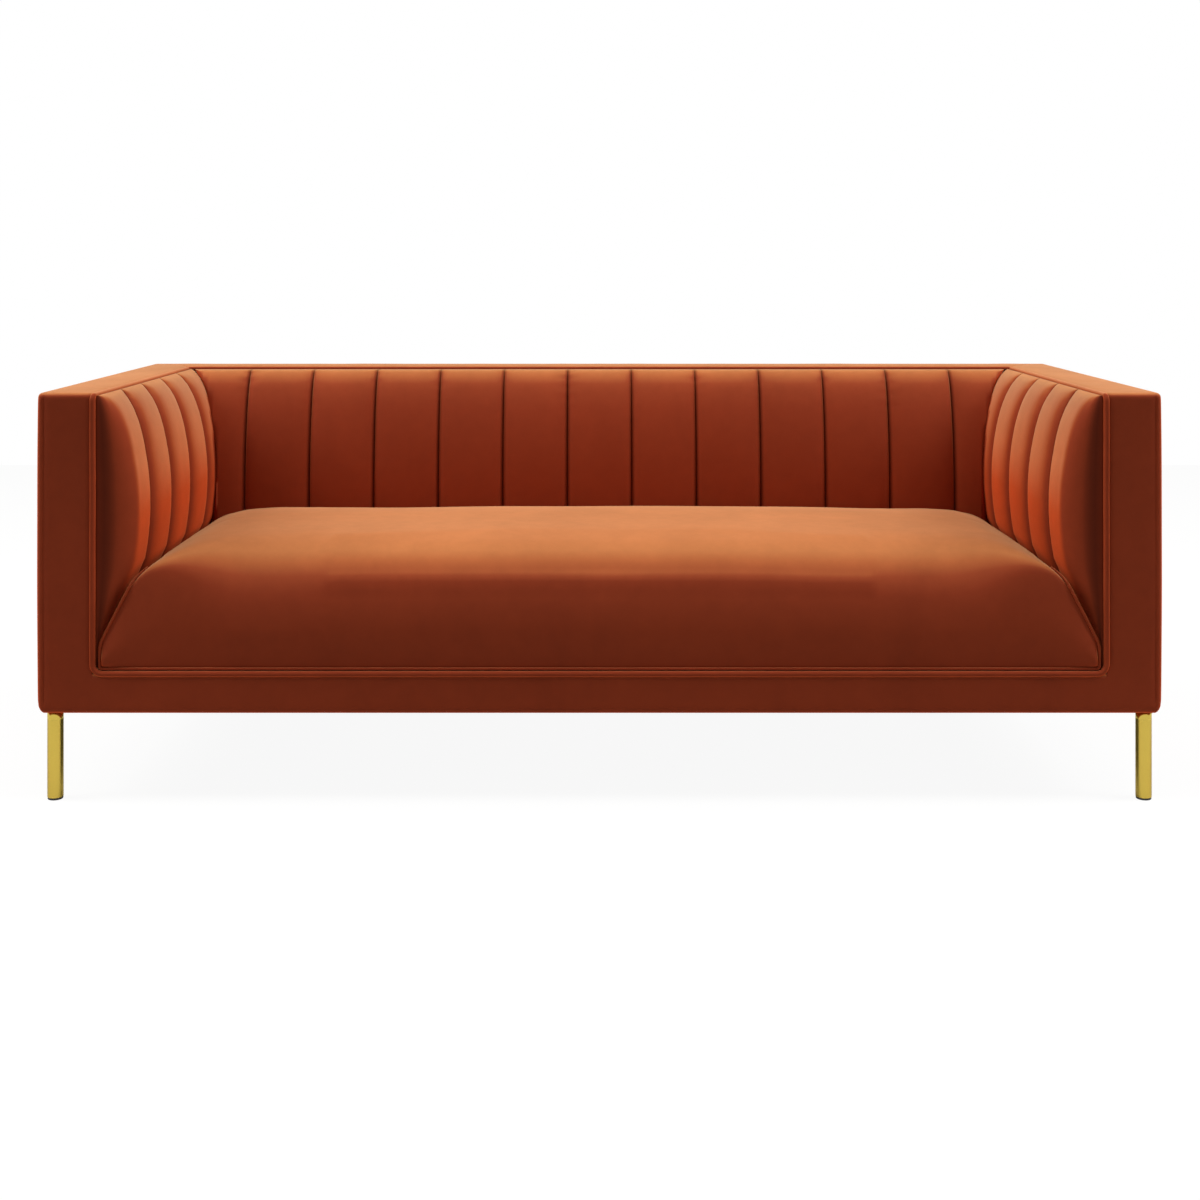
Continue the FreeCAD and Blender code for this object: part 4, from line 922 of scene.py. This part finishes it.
class SOFA_OT_seat_cushion(bpy.types.Operator):
    """Loose bench cushion with its sewn flange"""

    bl_idname = "sofa.seat_cushion"
    bl_label = "Seat cushion"

    def execute(self, context):
        sizes = context.scene.sofa_sizes
        upper, lower = cushion_outline(sizes)
        front = CUSHION_LOW.y
        rear = CUSHION_HIGH.y - CUSHION_REAR_ROOM
        ring = np.concatenate([upper, lower[-2:0:-1]])
        normals = np.concatenate([inward(upper), -inward(lower)[-2:0:-1]])
        on_top = np.arange(len(ring)) < len(upper)
        share = (1 - smooth_step(0.66, 0.915, np.abs(ring[:, 0]))) * on_top
        roll = sizes.cushion_edge + (sizes.cushion_roll - sizes.cushion_edge) * share
        rear_roll = sizes.cushion_edge + (CUSHION_REAR_ROLL - sizes.cushion_edge) * share

        def section(y, radius, turn):
            spot = ring + normals * (radius * (1 - math.sin(turn)))[:, None]
            spot[:, 1] = y
            return spot

        square = math.pi / 2
        rows = []
        for turn in np.linspace(0, square, 18):
            rows.append(section(front + roll * (1 - math.cos(turn)), roll, turn))
        for way in np.linspace(0, 1, 40)[1:]:
            rows.append(section((front + roll) * (1 - way) + (rear - rear_roll) * way, roll, square))
        for turn in np.linspace(square, 0, 12)[1:]:
            rows.append(section(rear - rear_roll * (1 - math.cos(turn)), rear_roll, turn))
        body = np.array(rows)
        x, y, z = body[..., 0], body[..., 1], body[..., 2]
        fall = sizes.cushion_fall * smooth_step(0.30, 0.44, z) * np.clip((y + 0.06) / 0.2, 0, 2) ** 2
        body[..., 2] -= fall * smooth_step(0.90, 0.76, np.abs(x))
        body[..., 2] += 0.0022 * ripple(0.8 * x, 0.8 * y, 0 * x) * smooth_step(0.32, 0.44, z)
        skin = Skin()
        skin.grid(body, closed=True)
        half = len(upper)
        for end, sign, bow, uneven in ((body[0], -1, 0.0075, 0.0012), (body[-1], 1, 0.0008, 0.0004)):
            above = end[:half]
            below = np.concatenate([end[:1], end[half:][::-1], end[half - 1 : half]])
            shares = np.linspace(0, 1, 26)[:, None, None]
            face = above[None] * (1 - shares) + below[None] * shares
            swell = np.sin(np.pi * shares[..., 0]) ** 0.8
            ends = smooth_step(0, 0.03, np.linalg.norm(above - below, axis=1))[None]
            face[..., 1] += sign * bow * swell * ends
            face[..., 1] += sign * uneven * ripple(face[..., 0] * 1.2, 0, face[..., 2]) * swell * ends
            skin.grid(face)
        item = skin.piece("seat_cushion", material_of("velvet"))
        self.stuff(item)
        self.ease(item)
        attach(item, "seat_cushion")
        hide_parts("seat_cushion_cover")
        self.flange(sizes, upper, lower)
        return {"FINISHED"}

    def stuff(self, item):
        """Press the cover out from inside as cloth, its sewn edges held, and keep the dents that this makes.

        A movement of length s is kept as 6 s / (6 + s) mm, so it never passes 6 mm, and less of it is kept
        towards the arms and the back. The points then stay inside the space that the cushion has on the deck.
        """
        mesh = item.data
        start = points_of(mesh)
        held = item.vertex_groups.new(name="sewn")
        edges = (np.abs(start[:, 1] - CUSHION_LOW.y - 0.0055) < 0.003) & (start[:, 2] < 0.45)
        edges |= start[:, 2] < CUSHION_LOW.z + 0.004
        held.add(np.nonzero(edges)[0].tolist(), 1.0, "REPLACE")
        cloth = item.modifiers.new("stuffing", "CLOTH")
        settings = cloth.settings
        settings.vertex_group_mass = "sewn"
        settings.use_pressure = True
        settings.uniform_pressure_force = 4.0
        settings.effector_weights.gravity = 0.0
        settings.quality = 4
        settings.mass = 0.4
        settings.tension_stiffness = settings.compression_stiffness = 12.0
        settings.bending_stiffness = 0.4
        scene = bpy.context.scene
        for number in range(1, CLOTH_FRAMES + 1):
            scene.frame_set(number)
        move = points_of(item.evaluated_get(bpy.context.evaluated_depsgraph_get()).data) - start
        item.modifiers.remove(cloth)
        item.vertex_groups.remove(held)
        scene.frame_set(1)
        size = np.linalg.norm(move, axis=1)
        kept = STUFFING_LIMIT / (STUFFING_LIMIT + size)
        kept *= 0.15 + 0.85 * smooth_step(0.92, 0.80, np.abs(start[:, 0]))
        kept *= 1 - 0.75 * smooth_step(0.10, 0.18, start[:, 1])
        spot = start + move * kept[:, None]
        spot[:, 0] = np.clip(spot[:, 0], CUSHION_LOW.x, CUSHION_HIGH.x)
        spot[:, 1] = np.minimum(spot[:, 1], CUSHION_HIGH.y)
        spot[:, 2] = np.maximum(spot[:, 2], CUSHION_LOW.z)
        mesh.vertices.foreach_set("co", spot.ravel())
        mesh.update()

    def ease(self, item):
        """Soften the front roll's ends: each point there moves halfway to its neighbours' mean, 40 times."""
        spots = points_of(item.data)
        ends = (np.abs(spots[:, 0]) > 0.52) & (np.abs(spots[:, 0]) < 0.895)
        ends &= (spots[:, 1] < CUSHION_LOW.y + 0.15) & (spots[:, 2] > 0.33)
        made = bmesh.new()
        made.from_mesh(item.data)
        chosen = [vertex for vertex, wanted in zip(made.verts, ends) if wanted]
        for _ in range(40):
            bmesh.ops.smooth_vert(
                made, verts=chosen, factor=0.5, use_axis_x=True, use_axis_y=True, use_axis_z=True
            )
        made.to_mesh(item.data)
        made.free()

    def flange(self, sizes, upper, lower):
        """The sewn edge: a fine cord up both slanting sides and along the bottom of the front."""
        line = np.concatenate([upper, lower[-2:0:-1]])
        keep = (np.abs(line[:, 0]) > 0.862) | (line[:, 2] < CUSHION_LOW.z + 0.02)
        first = int(np.argmin(keep))
        line = np.roll(line, -first, axis=0)[np.roll(keep, -first)]
        line[:, 0] = np.clip(line[:, 0], CUSHION_LOW.x + 0.0024, CUSHION_HIGH.x - 0.0024)
        line[:, 1] = CUSHION_LOW.y - 0.0012
        line[:, 2] = np.maximum(line[:, 2], CUSHION_LOW.z + FLANGE_RADIUS + 0.0002)
        ends = smooth_step(0.90, 0.862, np.abs(line[:, 0])) * (line[:, 2] > 0.35)
        line[:, 1] += 0.022 * ends
        line[:, 2] -= 0.004 * ends
        skin = Skin()
        tube(skin, even_path(line, 0.005), FLANGE_RADIUS, 8)
        item = skin.piece("seat_cushion_flange", material_of("velvet_cord"))
        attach(item, "seat_cushion")
        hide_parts("seat_cushion_welt")


# Legs


class SOFA_OT_legs(bpy.types.Operator):
    """Gold tube legs and their black glides"""

    bl_idname = "sofa.legs"
    bl_label = "Legs"

    def execute(self, context):
        names = [f"leg_{end}_{side}" for end in ("front", "rear") for side in ("left", "right")]
        for name in names:
            low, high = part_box(name)
            radius = (high.x - low.x) / 2
            place = [((low.x + high.x) / 2, (low.y + high.y) / 2)]
            edge = 0.0008
            turns = np.linspace(0, math.pi / 2, 5)
            outline = [(radius - TUBE_WALL, low.z + 0.004), (radius - TUBE_WALL, low.z)]
            for turn in turns:
                outline.append((radius - edge + edge * math.sin(turn), low.z + edge - edge * math.cos(turn)))
            outline += [(radius, z) for z in np.linspace(low.z, high.z, 9)[1:-1]]
            outline += [(radius, high.z), (radius - 0.004, high.z)]
            skin = Skin()
            turned(skin, outline, place, 96)
            item = skin.piece(f"tube_{name}", material_of("gold"))
            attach(item, "sofa_frame")
            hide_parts(name)
        low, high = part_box("foot_glides")
        radius = GLIDE_RADIUS
        ends = (low.y + radius, high.y - radius)
        places = [(x, y) for x in (low.x + radius, high.x - radius) for y in ends]
        outline = [(radius - 0.0016, 0.0), (radius - 0.0005, 0.0004), (radius, 0.0013), (radius, 0.0037)]
        outline += [(radius - 0.0004, 0.0041), (GLIDE_STEM, 0.0042), (GLIDE_STEM, high.z)]
        skin = Skin()
        turned(skin, outline, places, 64)
        item = skin.piece("glides", material_of("glide"))
        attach(item, "sofa_frame")
        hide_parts("foot_glides")
        return {"FINISHED"}


# Inner parts


class SOFA_OT_inner_parts(bpy.types.Operator):
    """Finishes of the frame, the springs, the deck and the other CAD nodes that stay as they are"""

    bl_idname = "sofa.inner_parts"
    bl_label = "Inner parts"

    def execute(self, context):
        slots = {row["node"]: row["material_slot"] for row in frame["record"]["subparts"]}
        for name, item in frame["nodes"].items():
            if item.hide_render:
                continue
            kind = slots[name]
            if kind == "frame_wood":
                low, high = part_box(name)
                longest = int(np.argmax([high[axis] - low[axis] for axis in range(3)]))
                kind = f"wood_{'xyz'[longest]}"
            item.material_slots[0].material = material_of(kind)
        return {"FINISHED"}


def material_of(kind):
    """The material of that kind, made when it is first asked for."""
    if kind not in made_materials:
        made_materials[kind] = make_material(kind, bpy.context.scene.sofa_colours)
    return made_materials[kind]


made_materials = {}


def make_material(kind, colours):
    """One material for each finish."""
    if kind == "velvet":
        return velvet_material(colours)
    if kind == "velvet_cord":
        # The cord gets less of the painted top light
        return velvet_material(colours, kind, 0.3)
    if kind == "gold":
        return gold_material(colours)
    if kind == "glide":
        dark = tuple(colours.glide)
        return grained_material("glide_plastic", scaled(dark, 1.6), dark, (1, 1, 1), 300.0, 0.45)
    if kind.startswith("wood_"):
        stretch = tuple(0.12 if axis == kind[-1] else 1.6 for axis in "xyz")
        return grained_material(kind, (0.62, 0.42, 0.24), (0.40, 0.24, 0.12), stretch, 30.0, 0.62)
    if kind == "fibre_board":
        return grained_material(kind, (0.42, 0.30, 0.18), (0.28, 0.19, 0.11), (1, 1, 1), 140.0, 0.8)
    if kind == "steel":
        light, dark = (0.55, 0.55, 0.56), (0.38, 0.38, 0.4)
        return grained_material(kind, light, dark, (1, 1, 6), 60.0, 0.38, 1.0, 0.0001)
    if kind == "foam":
        return grained_material(kind, (0.84, 0.78, 0.6), (0.7, 0.63, 0.45), (1, 1, 1), 260.0, 0.9)
    if kind == "felt":
        return grained_material(kind, (0.46, 0.45, 0.42), (0.3, 0.29, 0.28), (1, 1, 1), 120.0, 0.95)
    return woven_material("lining", (0.035, 0.034, 0.034), (0.012, 0.012, 0.012), 120.0)


# Stage


class SOFA_OT_stage(bpy.types.Operator):
    """Pale floor, soft light and the camera"""

    bl_idname = "sofa.stage"
    bl_label = "Stage"

    def execute(self, context):
        scene = context.scene
        scene.view_settings.view_transform = "Standard"
        self.floor()
        self.world(scene)
        self.lamp("overhead", (0, -1.15, 6.0), (0, 0, 0), (14.0, 2.0), 320)
        self.lamp("left", (-5.5, -0.4, 4.5), (0, math.radians(-54), 0), (3.0, 3.0), 245)
        self.lamp("right", (5.5, -0.4, 4.5), (0, math.radians(54), 0), (3.0, 3.0), 245)
        camera = bpy.data.cameras.new("camera")
        camera.lens = 49.15
        camera.sensor_width = 36
        camera.shift_x = 0.0004
        camera.shift_y = -0.2903
        camera.clip_end = 100
        eye = bpy.data.objects.new("camera", camera)
        eye.location = (0, -3.5135, 1.044)
        eye.rotation_euler = (math.radians(90), 0, 0)
        scene.collection.objects.link(eye)
        scene.camera = eye
        return {"FINISHED"}

    def lamp(self, name, place, turn, size, power):
        """A large soft lamp that shines along its own -Z."""
        light = bpy.data.lights.new(name, "AREA")
        light.shape = "RECTANGLE"
        light.size, light.size_y = size
        light.energy = power
        light.color = (1.0, 0.985, 0.96)
        item = bpy.data.objects.new(name, light)
        item.location = place
        item.rotation_euler = turn
        bpy.context.scene.collection.objects.link(item)

    def floor(self):
        """A pale floor that the camera sees as white, with the object's faint shadow on it."""
        shader = Shader("floor")
        paint = self.glowing(shader, 0.6, 0.0)
        mirrored = self.glowing(shader, 0.75, 0.08)
        white = self.glowing(shader, 0.08, 0.93)
        camera, glossy = self.seen(shader)
        paint = shader.node("ShaderNodeMixShader", None, {0: glossy, 1: paint, 2: mirrored})
        shader.node_output(shader.node("ShaderNodeMixShader", None, {0: camera, 1: paint, 2: white}))
        skin = Skin()
        line = np.linspace(-4.5, 4.5, 7)
        across, along = np.meshgrid(line, line)
        skin.grid(np.stack([across, along, 0 * across], -1))
        item = skin.piece("floor", shader.material)

    @staticmethod
    def glowing(shader, colour, strength):
        """A matt paint with some light of its own."""
        paint = shader.node("ShaderNodeBsdfDiffuse", None, {"Color": (colour, colour, colour, 1)})
        glow = shader.node("ShaderNodeEmission", None, {"Color": (1, 1, 1, 1), "Strength": strength})
        return shader.node("ShaderNodeAddShader", None, {0: paint, 1: glow})

    @staticmethod
    def seen(shader):
        """1 for rays straight from the camera, and 1 for rays that metal or glass sends on."""
        camera = shader.node("ShaderNodeLightPath")
        glossy = shader.node("ShaderNodeLightPath", output="Is Glossy Ray")
        return camera, glossy + shader.node("ShaderNodeLightPath", output="Is Transmission Ray")

    def world(self, scene):
        """White where it is seen, and a dimmer even light on the object."""
        world = bpy.data.worlds.new("world")
        world.use_nodes = True
        scene.world = world
        shader = Shader.__new__(Shader)
        shader.tree = world.node_tree
        shader.tree.nodes.clear()
        soft = shader.node("ShaderNodeBackground", None, {"Color": (1, 1, 1, 1), "Strength": 0.06})
        white = shader.node("ShaderNodeBackground", None, {"Color": (1, 1, 1, 1), "Strength": 1.0})
        camera, glossy = self.seen(shader)
        mixed = shader.node("ShaderNodeMixShader", None, {0: camera + glossy, 1: soft, 2: white})
        end = shader.tree.nodes.new("ShaderNodeOutputWorld")
        shader.tree.links.new(mixed.socket, end.inputs["Surface"])


class SOFA_PT_panel(bpy.types.Panel):
    """Lists what the add-on can build"""

    bl_label = "Tuxedo sofa"
    bl_idname = "SOFA_PT_panel"
    bl_space_type = "VIEW_3D"
    bl_region_type = "UI"
    bl_category = "Sofa"

    def draw(self, context):
        for operator in OPERATORS:
            self.layout.operator(operator.bl_idname)
        for group in (context.scene.sofa_sizes, context.scene.sofa_colours):
            for name in group.__annotations__:
                self.layout.prop(group, name)


OPERATORS = (
    SOFA_OT_outer_cover,
    SOFA_OT_arm_pads,
    SOFA_OT_back_pad,
    SOFA_OT_piping,
    SOFA_OT_seat_cushion,
    SOFA_OT_legs,
    SOFA_OT_inner_parts,
    SOFA_OT_stage,
)
CLASSES = (SofaSizes, SofaColours, *OPERATORS, SOFA_PT_panel)


def register():
    """Make the classes and the two groups of settings known."""
    for item in CLASSES:
        bpy.utils.register_class(item)
    bpy.types.Scene.sofa_sizes = PointerProperty(type=SofaSizes)
    bpy.types.Scene.sofa_colours = PointerProperty(type=SofaColours)


def unregister():
    """Take them away again."""
    del bpy.types.Scene.sofa_sizes
    del bpy.types.Scene.sofa_colours
    for item in reversed(CLASSES):
        bpy.utils.unregister_class(item)


def main():
    register()
    for operator in OPERATORS:
        getattr(bpy.ops.sofa, operator.bl_idname.split(".")[1])()


if __name__ == "__main__":
    main()
